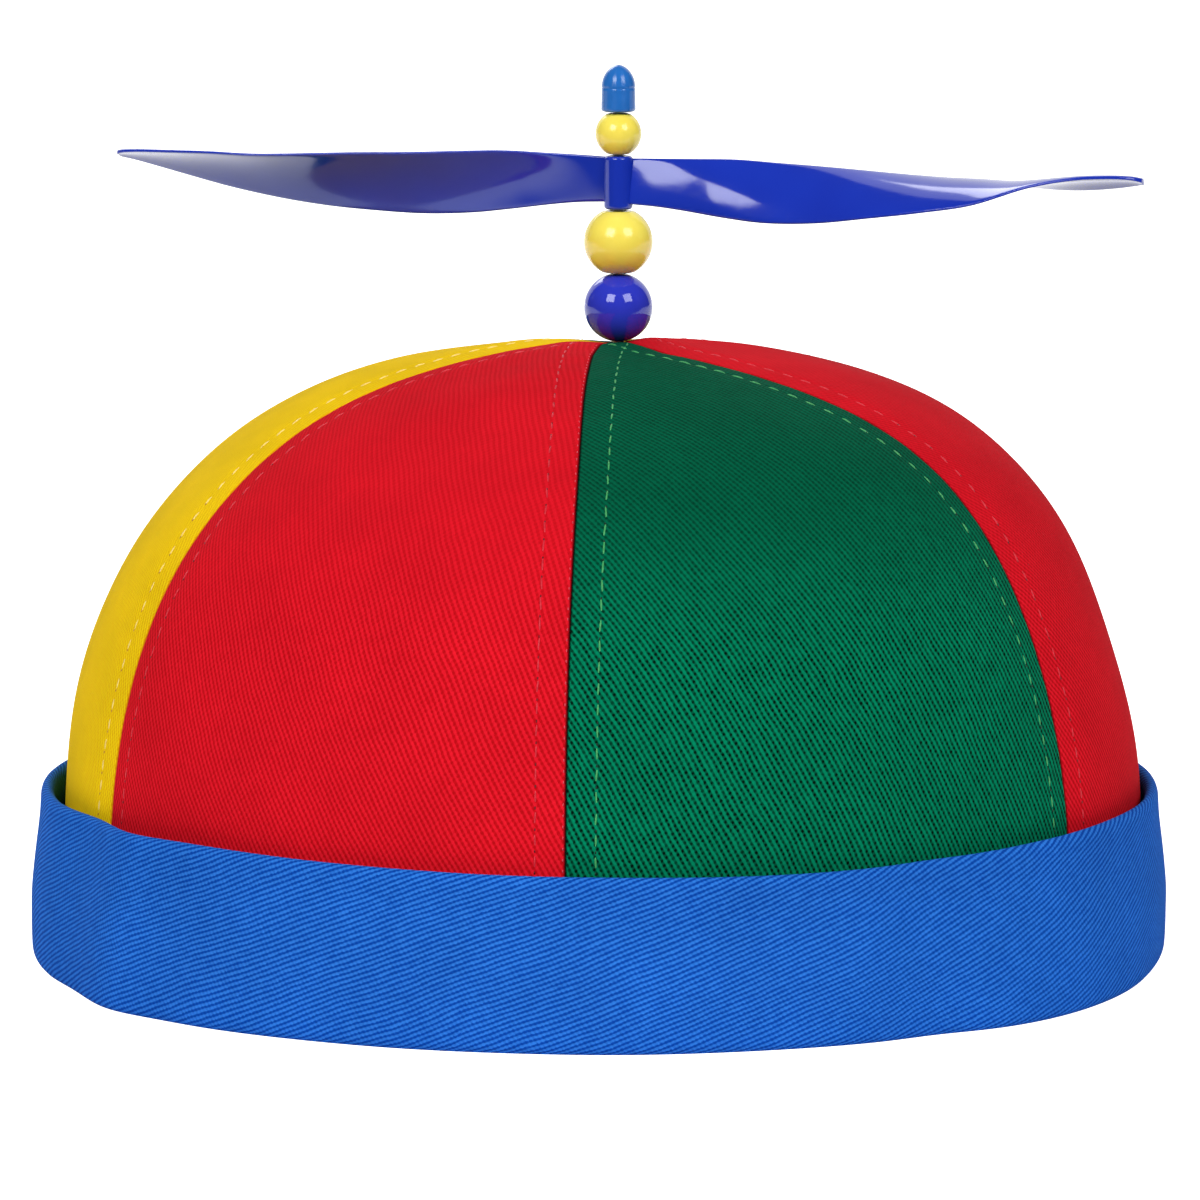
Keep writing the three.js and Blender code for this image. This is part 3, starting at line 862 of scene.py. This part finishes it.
# %% [markdown]
# ## Thread
# Topstitching is polyester thread, two plies twisted together, with a soft shine along it. The
# thread on the green panels is a lighter yellow green, and on the red and the yellow ones it is
# close to the cloth, so each colour of panel has its own thread. Where the needle goes down, the
# thread dives into a hole, which looks like a dark dot. A hole under half a millimetre is too
# small to cut, so it is a short stitch of a dark colour, painted shade that stands in for the
# hole.

# %% Thread
PLY = 0.4 * MM


def sewing_thread(name, colour, shade):
    material, tree, shader = new_material(name, {"Roughness": 0.5, "Specular IOR Level": 0.3})
    place = add_node(tree, "ShaderNodeTexCoord")
    plies = {"Vector": place.outputs["Object"], "Scale": 1 / PLY, "Detail": 2.0}
    noise = add_node(tree, "ShaderNodeTexNoise", plies)
    twisted = {"Factor": noise, "A": linear(shade), "B": linear(colour)}
    mixed = add_node(tree, MIX, twisted, data_type="RGBA")
    feed(tree, shader, {"Base Color": mixed})
    return material


red_thread = sewing_thread("red_polyester_thread", "#f03446", "#a80c18")
green_thread = sewing_thread("lime_polyester_thread", "#5cc274", "#0f8044")
yellow_thread = sewing_thread("yellow_polyester_thread", "#fff0a0", "#e8bc30")
pink_thread = sewing_thread("pink_polyester_thread", "#ee5a6c", "#c01628")
# Painted shade: dark colours for the needle holes, standing in for the shade inside each hole.
red_hole_shade = sewing_thread("needle_hole_shade_in_red", "#7a0a12", "#50060c")
green_hole_shade = sewing_thread("needle_hole_shade_in_green", "#013020", "#001c12")
yellow_hole_shade = sewing_thread("needle_hole_shade_in_yellow", "#c88c10", "#a87008")
print("threads", [m.name for m in (red_thread, green_thread, yellow_thread, pink_thread)])

# %% [markdown]
# ## Topstitching
# A sewing machine lays a stitch, dives under the cloth and comes up again, at an even pitch.
# That is a rule, so Geometry Nodes lay the stitches: a line is drawn along each seam on the
# cloth, points are set along it, and a small bowed thread is put on each, turned to the line
# and to the cloth.


# %% Node groups
def node_group(name, sockets):
    group = bpy.data.node_groups.new(name, "GeometryNodeTree")
    for label, kind, value in sockets:
        socket = group.interface.new_socket(label, in_out="INPUT", socket_type=kind)
        if value is not None:
            socket.default_value = value
    group.interface.new_socket("Geometry", in_out="OUTPUT", socket_type="NodeSocketGeometry")
    return group


def end_group(group, geometry, material):
    """Makes instances real, shades them smooth and gives them the material."""
    real = add_node(group, "GeometryNodeRealizeInstances", {"Geometry": geometry})
    smooth = add_node(group, "GeometryNodeSetShadeSmooth", {"Geometry": real})
    worn = {"Geometry": smooth, "Material": material}
    worn = add_node(group, "GeometryNodeSetMaterial", worn)
    add_node(group, "NodeGroupOutput", {0: worn})
    print(group.name, "has", len(group.nodes), "nodes")


def run_nodes(piece, group, settings):
    """Evaluates the group on the piece, and keeps the result as its plain mesh."""
    modifier = piece.modifiers.new(group.name, "NODES")
    modifier.node_group = group
    given = [item for item in group.interface.items_tree if item.in_out == "INPUT"]
    sockets = {item.name: item.identifier for item in given}
    for name, value in settings.items():
        modifier[sockets[name]] = value
    evaluated = piece.evaluated_get(bpy.context.evaluated_depsgraph_get())
    made = bpy.data.meshes.new_from_object(evaluated)
    piece.modifiers.remove(modifier)
    piece.data = made
    made.name = piece.name
    print(group.name, "made", len(made.vertices), "points of", piece.name)
    return piece


# %% One stitch
STITCH_INPUTS = (
    ("Seam lines", "NodeSocketGeometry", None),
    ("Pitch", "NodeSocketFloat", STITCH_PITCH * MM),
    ("Stitch length", "NodeSocketFloat", 2.5 * MM),
    ("Thread radius", "NodeSocketFloat", 0.17 * MM),
    ("Seed", "NodeSocketInt", 1),
    ("Thread", "NodeSocketMaterial", None),
)
topstitch = node_group("topstitch", STITCH_INPUTS)
given = add_node(topstitch, "NodeGroupInput").outputs
length, thickness = given["Stitch length"], given["Thread radius"]
half, back, sunk, crest = (
    add_node(topstitch, MATH, {0: size, 1: share}, operation="MULTIPLY")
    for size, share in ((length, 0.5), (length, -0.5), (thickness, -1.3), (thickness, 1.6))
)
stitch_ends = {
    "Resolution": 5,
    "Start": add_node(topstitch, "ShaderNodeCombineXYZ", {"X": back, "Z": sunk}),
    "Middle": add_node(topstitch, "ShaderNodeCombineXYZ", {"Z": crest}),
    "End": add_node(topstitch, "ShaderNodeCombineXYZ", {"X": half, "Z": sunk}),
}
bow = add_node(topstitch, "GeometryNodeCurveQuadraticBezier", stitch_ends)
circle = {"Resolution": 6, "Radius": thickness}
round_thread = add_node(topstitch, "GeometryNodeCurvePrimitiveCircle", circle)
swept = {"Curve": bow, "Profile Curve": round_thread, "Fill Caps": True}
stitch = add_node(topstitch, "GeometryNodeCurveToMesh", swept)
print("a stitch is drawn with", stitch_ends["Resolution"], "spans")

# %% Stitches along a seam
OUT_MAP = "cloth_out"
lines = add_node(topstitch, "GeometryNodeMeshToCurve", {"Mesh": given["Seam lines"]})
pitched = {"Curve": lines, "Length": given["Pitch"]}
spaced = add_node(topstitch, "GeometryNodeResampleCurve", pitched, mode="LENGTH")
points = add_node(topstitch, "GeometryNodeCurveToPoints", {"Curve": spaced}, mode="EVALUATED")
named = "GeometryNodeInputNamedAttribute"
outward = add_node(topstitch, named, {"Name": OUT_MAP}, data_type="FLOAT_VECTOR")
align = "FunctionNodeAlignRotationToVector"
upright = add_node(topstitch, align, {"Vector": outward}, axis="Z")
onward = {"Rotation": upright, "Vector": points.outputs["Tangent"]}
onward = add_node(topstitch, align, onward, axis="X", pivot_axis="Z")
SWAY = 0.1
hand = {"Min": (0, 0, -SWAY), "Max": (0, 0, SWAY), "Seed": given["Seed"]}
sway = add_node(topstitch, "FunctionNodeRandomValue", hand, data_type="FLOAT_VECTOR")
swayed = {"Rotation": onward, "Rotate By": sway}
swayed = add_node(topstitch, "FunctionNodeRotateRotation", swayed, rotation_space="LOCAL")
laid = {"Points": points.outputs["Points"], "Instance": stitch, "Rotation": swayed}
sewn = add_node(topstitch, "GeometryNodeInstanceOnPoints", laid)
end_group(topstitch, sewn, given["Thread"])

# %% Lines on the cloth
ROW_FOOT = 14.0
ROW_TOP_RADIUS = 10.0
row_top = np.interp(-ROW_TOP_RADIUS, -meridian_radii, meridian_length)


def line_on_panel(order, side, offset, start):
    """A line beside a seam, and which way is out along it. side 0 is the panel's first seam."""
    lengths = np.arange(start, row_top, 1.0)
    (radii,) = on_meridian(lengths, meridian_radii)
    azimuth = seam_azimuth(order + side, radii) + (offset if side == 0 else -offset) / radii
    ripple = panel_ripple(azimuth, lengths, offset, order * PHASE_STEP)
    ripple = ripple * np.minimum(1, radii / SEAM_FADE)
    points = crown_point(azimuth, offset, lengths, -ripple)
    out, up = on_meridian(lengths, *meridian_way)
    outward = np.column_stack([out * np.sin(azimuth), -out * np.cos(azimuth), up])
    return points * MM, outward


def lines_object(name, lines):
    """Lines as loose edges, with the attribute cloth_out for the way out."""
    points = np.vstack([line[0] for line in lines])
    outward = np.vstack([line[1] for line in lines])
    edges, first = [], 0
    for line in lines:
        edges.extend((first + i, first + i + 1) for i in range(len(line[0]) - 1))
        first += len(line[0])
    mesh = bpy.data.meshes.new(name)
    mesh.from_pydata([tuple(p) for p in points], edges, [])
    attribute = mesh.attributes.new(OUT_MAP, "FLOAT_VECTOR", "POINT")
    attribute.data.foreach_set("vector", outward.astype(np.float32).ravel())
    return linked_object(name, mesh)


print("rows run from", ROW_FOOT, "to", round(float(row_top), 1), "mm of cloth")

# %% [markdown]
# Each panel has two rows, 5 mm inside its seams. The needle's holes lie halfway between the
# stitches, so their lines start half a pitch lower. Along the front seam the stitches that join
# the two panels show as tiny pink dots, because the red edge there rolls over a little.

# %% Topstitching rows
HOLE_SIZE = {"Stitch length": 0.55 * MM, "Thread radius": 0.14 * MM}
for colour, orders, thread, hole_shade in (
    ("red", (0, 2), red_thread, red_hole_shade),
    ("green", (1, 4), green_thread, green_hole_shade),
    ("yellow", (3, 5), yellow_thread, yellow_hole_shade),
):
    # needle holes are short stitches of painted shade, in the dark colours above
    for label, material, start, settings in (
        ("stitches", thread, ROW_FOOT, {}),
        ("needle_hole_shades", hole_shade, ROW_FOOT - STITCH_PITCH / 2, HOLE_SIZE),
    ):
        lines = [line_on_panel(o, side, ROW_OFFSET, start) for o in orders for side in (0, 1)]
        rows = lines_object(f"{label}_on_{colour}", lines)
        settings = {**settings, "Thread": material, "Seed": orders[0]}
        dress(run_nodes(rows, topstitch, settings), "cap", colour + "_twill")

# %% Joining stitches
JOIN_PITCH = 1.8
JOIN_OFFSET = 0.42
join = lines_object("joining_stitches", [line_on_panel(0, 1, JOIN_OFFSET, ROW_FOOT)])
join_settings = {
    "Pitch": JOIN_PITCH * MM,
    "Stitch length": 0.45 * MM,
    "Thread radius": 0.11 * MM,
    "Seed": 7,
    "Thread": pink_thread,
}
dress(run_nodes(join, topstitch, join_settings), "cap", "red_twill")

# %% [markdown]
# ## Moulded plastics
# The beads are hard glossy polystyrene, the tip cap is soft vinyl and the propeller is moulded
# polypropylene, which is a little softer in its shine. All three mirror the soft boxes. A flat
# colour with a perfect mirror looks like a render: a moulded skin draws in as it cools, so a
# faint wide unevenness bends the reflections, the dye is not quite even, and handling leaves
# fine rubbing that dulls the shine in places. The soft cap was drawn off a pin, which leaves
# rings too fine to see, and they stretch each highlight into an upright strip.

# %% Plastics
RUB = 1.2 * MM


def moulded_plastic(name, colour, deep, roughness, ripple, ripple_width, rings=0.0):
    """ripple is the skin's unevenness and ripple_width its width, in millimetres. roughness is
    the least and the most that rubbing leaves. rings is how strongly fine rings round the part
    draw its highlights out along it."""
    material, tree, shader = new_material(name, {
        "IOR": 1.5,
        "Anisotropic": rings,
        "Anisotropic Rotation": 0.25,
    })
    around_axis = add_node(tree, "ShaderNodeTangent", direction_type="RADIAL", axis="Z")
    place = add_node(tree, "ShaderNodeTexCoord")
    wide = {"Vector": place.outputs["Object"], "Scale": 1 / (ripple_width * MM), "Detail": 1.0}
    uneven = add_node(tree, "ShaderNodeTexNoise", wide)
    dyes = {"Factor": uneven, "A": linear(deep), "B": linear(colour)}
    toned = add_node(tree, MIX, dyes, data_type="RGBA")
    fine = {"Vector": place.outputs["Object"], "Scale": 1 / RUB, "Detail": 5.0}
    rubbing = add_node(tree, "ShaderNodeTexNoise", fine)
    least, most = roughness
    worn = {"Value": rubbing, "From Min": 0.35, "From Max": 0.75, "To Min": least, "To Max": most}
    dull = add_node(tree, "ShaderNodeMapRange", worn)
    skin = add_node(tree, "ShaderNodeBump", {"Height": uneven, "Distance": ripple * MM})
    feed(tree, shader, {"Base Color": toned, "Roughness": dull})
    feed(tree, shader, {"Normal": skin, "Tangent": around_axis})
    return material


print("rubbing is", RUB, "m across")

# %% Four plastics
blue_bead, yellow_bead, propeller_blue, tip_blue = plastics = [
    moulded_plastic(*settings)
    for settings in (
        ("blue_polystyrene", "#323dcc", "#2934b8", (0.05, 0.1), 0.02, 5),
        ("yellow_polystyrene", "#fff068", "#fde450", (0.16, 0.24), 0.02, 5),
        ("blue_polypropylene", "#1b3abe", "#162ca4", (0.08, 0.14), 0.06, 14),
        ("blue_soft_vinyl", "#2a76cc", "#2068b8", (0.16, 0.22), 0.01, 3, 0.9),
    )
]
print("plastics", [plastic.name for plastic in plastics])

# %% [markdown]
# ## Turning on a lathe
# Beads, cap and hub are bodies of revolution. The Spin tool could turn them by hand. Here
# Geometry Nodes do, because one tree serves all five: a profile of points is given, a grid is
# made with one row for each of them, and each of its vertices is moved to the radius and height
# of its row at the angle of its column. Merging by distance closes the seam and the poles.

# %% Lathe grid
LATHE_INPUTS = (
    ("Profile", "NodeSocketGeometry", None),
    ("Sides", "NodeSocketInt", 64),
    ("Axis", "NodeSocketFloat", 0.0),
    ("Material", "NodeSocketMaterial", None),
)
lathe = node_group("lathe", LATHE_INPUTS)
given = add_node(lathe, "NodeGroupInput").outputs
size = add_node(lathe, "GeometryNodeAttributeDomainSize", {"Geometry": given["Profile"]})
columns = add_node(lathe, MATH, {0: given["Sides"], 1: 1.0}, operation="ADD")
cells = {"Vertices X": size.outputs["Point Count"], "Vertices Y": columns}
grid = add_node(lathe, "GeometryNodeMeshGrid", cells)
index = add_node(lathe, "GeometryNodeInputIndex")
row = add_node(lathe, MATH, {0: index, 1: columns}, operation="DIVIDE")
row = add_node(lathe, MATH, {0: row}, operation="FLOOR")
column = add_node(lathe, MATH, {0: index, 1: columns}, operation="MODULO")
angle = add_node(lathe, MATH, {0: column, 1: 2 * math.pi}, operation="MULTIPLY")
angle = add_node(lathe, MATH, {0: angle, 1: given["Sides"]}, operation="DIVIDE")
print("lathe grid has", len(lathe.nodes), "nodes")

# %% Lathe turning
here = add_node(lathe, "GeometryNodeInputPosition")
sampled = {"Geometry": given["Profile"], "Value": here, "Index": row}
sampled = add_node(lathe, "GeometryNodeSampleIndex", sampled, data_type="FLOAT_VECTOR")
profile = add_node(lathe, "ShaderNodeSeparateXYZ", {0: sampled}).outputs
cosine = add_node(lathe, MATH, {0: angle}, operation="COSINE")
sine = add_node(lathe, MATH, {0: angle}, operation="SINE")
x = {0: profile["X"], 1: cosine, 2: given["Axis"]}
x = add_node(lathe, MATH, x, operation="MULTIPLY_ADD")
y = add_node(lathe, MATH, {0: profile["X"], 1: sine}, operation="MULTIPLY")
place = add_node(lathe, "ShaderNodeCombineXYZ", {"X": x, "Y": y, "Z": profile["Z"]})
moved = add_node(lathe, "GeometryNodeSetPosition", {"Geometry": grid, "Position": place})
MERGE_DISTANCE = 1e-6
merging = {"Geometry": moved, "Distance": MERGE_DISTANCE}
merged = add_node(lathe, "GeometryNodeMergeByDistance", merging)
end_group(lathe, merged, given["Material"])


# %% Turned pieces
def turned(name, profile, material, sides=96):
    """profile is rows of radius and height in millimetres, from the foot up on the outside."""
    points = [(radius * MM, 0, height * MM) for radius, height in profile]
    mesh = bpy.data.meshes.new(name)
    mesh.from_pydata(points, [(i, i + 1) for i in range(len(points) - 1)], [])
    piece = linked_object(name, mesh)
    settings = {"Sides": sides, "Axis": POLE_SHIFT * MM, "Material": material}
    run_nodes(piece, lathe, settings)
    solid = bmesh.new()
    solid.from_mesh(piece.data)
    bmesh.ops.dissolve_degenerate(solid, dist=1e-7, edges=solid.edges)
    bmesh.ops.recalc_face_normals(solid, faces=solid.faces)
    solid.to_mesh(piece.data)
    solid.free()
    return piece


print("turned pieces stand", POLE_SHIFT, "mm to the side, as the post does")

# %% [markdown]
# ## Beads
# A bead is a ball with its two ends cut flat round the bore, and the cut's edge is eased. A UV
# sphere would have no bore and no flat ends, so each bead is a profile on the lathe. The large
# blue bead sits on the crown, the large yellow one carries the propeller, and the small yellow
# one is above it. Their heights are the part's own.


# %% Beads
def bead_profile(node, radius):
    low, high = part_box(node)
    foot, top = low.z / MM, high.z / MM
    middle, half = (foot + top) / 2, (top - foot) / 2
    reach = math.asin(half / radius)
    ease = 0.25
    face = radius * math.cos(reach)
    angles = np.linspace(-reach + ease / radius, reach - ease / radius, 40)
    ball = [(radius * math.cos(a), middle + radius * math.sin(a)) for a in angles]
    under = [(POST_HOLE, foot + ease), (POST_HOLE + ease, foot), (face - ease, foot)]
    over = [(r, foot + top - z) for r, z in under[::-1]]
    return [*under, *ball, *over, under[0]]


for name, node, radius, plastic, slot_name in (
    ("turned_base_bead", "base_bead", 6, blue_bead, "blue_bead"),
    ("turned_spacer_bead", "spacer_bead", 6, yellow_bead, "yellow_bead"),
    ("turned_top_bead", "top_bead", 4, yellow_bead, "yellow_bead"),
):
    dress(turned(name, bead_profile(node, radius), plastic), "cap", slot_name, node)

# %% [markdown]
# ## Tip cap
# The tip is a small sleeve pushed on the end of the post: a straight skirt with a slight flare,
# a fine groove where the mould parts, and a pointed dome above it. It is one more profile on
# the lathe.

# %% Tip cap
cap_low, cap_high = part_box("tip_cap")
cap_foot, cap_top = cap_low.z / MM, cap_high.z / MM
CAP_RADIUS = 3.0
CAP_STRAIGHT = 4.1
CAP_BORE = 4.6
GROOVE_DEPTH = 0.05
DOME_POWER = 1.12
groove = cap_foot + CAP_STRAIGHT
under_cap = [
    (0, cap_foot + CAP_BORE),
    (POST_HOLE, cap_foot + CAP_BORE),
    (POST_HOLE, cap_foot + 0.1),
    (POST_HOLE + 0.1, cap_foot),
]
skirt = [
    (CAP_RADIUS - 0.42, cap_foot),
    (CAP_RADIUS - 0.14, cap_foot + 0.1),
    (CAP_RADIUS, cap_foot + 0.4),
    (CAP_RADIUS - 0.01, cap_foot + 0.7),
    (CAP_RADIUS - 0.06, groove - 0.45),
    (CAP_RADIUS - 0.07, groove - 0.12),
    (CAP_RADIUS - 0.14, groove),
]
dome_angles = np.linspace(0.04, math.pi / 2, 28)
dome_out = (CAP_RADIUS - GROOVE_DEPTH) * np.cos(dome_angles) ** DOME_POWER
dome_foot = groove + GROOVE_DEPTH
dome_up = dome_foot + (cap_top - dome_foot) * np.sin(dome_angles)
dome = np.column_stack([dome_out, dome_up])[:-1]
cap_profile = [*under_cap, *skirt, *dome.tolist(), (0, cap_top)]
print("groove is", CAP_STRAIGHT, "mm up the cap")
dress(turned("tip_sleeve", cap_profile, tip_blue), "cap", "blue_tip", "tip_cap")

# %% [markdown]
# ## Propeller
# One moulding: a tube with two thin warped blades. Each blade is a row of sections, flat at the
# tip and nearly upright at the hub, and the left one is twisted steeper than the right one. The
# sections are close to the part's, with a smooth curve drawn through them.

# %% Blade sections
BLADE_REACH = 93.7
BLADE_CHORD = 14.2
BLADE_SECTIONS = np.array([
    # reach, chord, left pitch, left lift, right pitch, right lift
    (0.02, 0.56, 84, 0.2, 80, 0.1),
    (0.08, 0.6, 81, 0.2, 74, 0.05),
    (0.14, 0.67, 76, 0.12, 68, -0.05),
    (0.22, 0.79, 70, -0.03, 60, -0.22),
    (0.3, 0.88, 64, -0.25, 51, -0.42),
    (0.4, 0.95, 57, -0.42, 40, -0.47),
    (0.5, 0.98, 51, -0.42, 29, -0.38),
    (0.6, 1, 44, -0.38, 20, -0.25),
    (0.7, 0.98, 37, -0.22, 12, 0),
    (0.8, 0.9, 32, 0.15, -5, 0.42),
    (0.88, 0.74, 27, 0.5, -14, 0.72),
    (0.94, 0.55, 23, 0.78, -17, 0.9),
    (0.98, 0.34, 20, 0.95, -18, 1),
    (1, 0.14, 20, 1, -18, 1),
])
blade_lines = smooth_line(BLADE_SECTIONS, 7)
blade_reach = blade_lines[:, 0] * BLADE_REACH
blade_chord = np.clip(blade_lines[:, 1], 0.1, 1)[:, None] * BLADE_CHORD
widest = round(float(blade_chord.max()), 1)
print("blade has", len(blade_lines), "sections, the widest", widest, "mm")

# %% Blade shape
BLADE_THICKNESS = 0.9
BLADE_LIFT = 2.6
BLADE_CAMBER = 0.08
CAMBER_FROM = 12
CAMBER_DELAY = 0.4
blade_angle = np.linspace(0, math.pi, 20)
share = (1 - np.cos(blade_angle)) / 2
half_wall = BLADE_THICKNESS / 2 * np.maximum(np.sin(blade_angle) ** 0.4, 0.2)


def blade_loops(side):
    """side is 1 for the right blade and -1 for the left one."""
    pitch = blade_lines[:, 4 if side > 0 else 2, None] * DEGREE
    lift = blade_lines[:, 5 if side > 0 else 3, None] * BLADE_LIFT
    camber = BLADE_CAMBER * np.clip(blade_reach[:, None] / CAMBER_FROM - CAMBER_DELAY, 0, 1)
    bow = camber * blade_chord * (1 - (2 * share - 1) ** 2)
    across = (share - 0.5) * blade_chord
    loops = []
    for offset in (half_wall, -half_wall):
        rise = bow + offset
        y = side * (across * np.cos(pitch) - rise * np.sin(pitch))
        z = lift + across * np.sin(pitch) + rise * np.cos(pitch)
        x = np.broadcast_to(side * blade_reach[:, None], y.shape)
        loops.append(np.stack([x, y, z], axis=-1))
    return np.concatenate([loops[0], loops[1][:, ::-1]], axis=1)


print("a section has", blade_loops(1).shape[1], "points")

# %% Hub
HUB_RADIUS = 2.5
HUB_GAP = 0.3
hub_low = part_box("spacer_bead")[1].z / MM + HUB_GAP
hub_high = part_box("top_bead")[0].z / MM - HUB_GAP
hub_half = [
    (POST_HOLE, hub_low),
    (HUB_RADIUS - 0.5, hub_low),
    (HUB_RADIUS - 0.2, hub_low + 0.12),
    (HUB_RADIUS, hub_low + 0.4),
    (HUB_RADIUS, hub_low + 0.7),
]
hub_profile = [*hub_half, *[(r, hub_low + hub_high - z) for r, z in hub_half[::-1]], hub_half[0]]
hub = turned("propeller_hub", hub_profile, propeller_blue, sides=64)

# %% One moulding
PROPELLER_YAW = -18.5 * DEGREE
cos_yaw, sin_yaw = math.cos(PROPELLER_YAW), math.sin(PROPELLER_YAW)
yaw = np.array([[cos_yaw, -sin_yaw, 0], [sin_yaw, cos_yaw, 0], [0, 0, 1]])
moulding = bmesh.new()
moulding.from_mesh(hub.data)
for side, label in ((1, "right"), (-1, "left")):
    placed = blade_loops(side) @ yaw.T + (POLE_SHIFT, 0, (hub_low + hub_high) / 2)
    flat = np.zeros(placed.shape)
    blade = wall_from("blade_" + label, placed, flat, propeller_blue, closed_row=False)
    moulding.from_mesh(blade.data)
    bpy.data.objects.remove(blade)
bmesh.ops.recalc_face_normals(moulding, faces=moulding.faces)
propeller_mesh = bpy.data.meshes.new("moulded_propeller")
moulding.to_mesh(propeller_mesh)
moulding.free()
propeller_mesh.materials.append(propeller_blue)
propeller = linked_object("moulded_propeller", propeller_mesh)
bpy.data.objects.remove(hub)
dress(propeller, "propeller", "blue_propeller", "propeller")

# %% [markdown]
# ## Post
# The post is drawn steel wire with a flat head under the crown. Only a sliver of it shows between
# the beads, and its head shows from below, so the part's own solid is fine enough and only gets
# its metal. Drawing leaves fine lines along the wire, which spread its shine.

# %% Post
steel, tree, shader = new_material("drawn_steel_wire", {
    "Base Color": linear("#b8babd"),
    "Metallic": 1.0,
})
DRAW_LINE = 0.17 * MM
place = add_node(tree, "ShaderNodeTexCoord")
along_wire = (1 / DRAW_LINE, 1 / DRAW_LINE, 0.025 / DRAW_LINE)
stretched = {"Vector": place.outputs["Object"], "Scale": along_wire}
stretched = add_node(tree, "ShaderNodeMapping", stretched)
lines = add_node(tree, "ShaderNodeTexNoise", {"Vector": stretched, "Scale": 1.0})
spread = {"Value": lines, "To Min": 0.28, "To Max": 0.45}
feed(tree, shader, {"Roughness": add_node(tree, "ShaderNodeMapRange", spread)})
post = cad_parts["post"]
for holder in post.material_slots:
    holder.material = steel
print("post wears", steel.name)
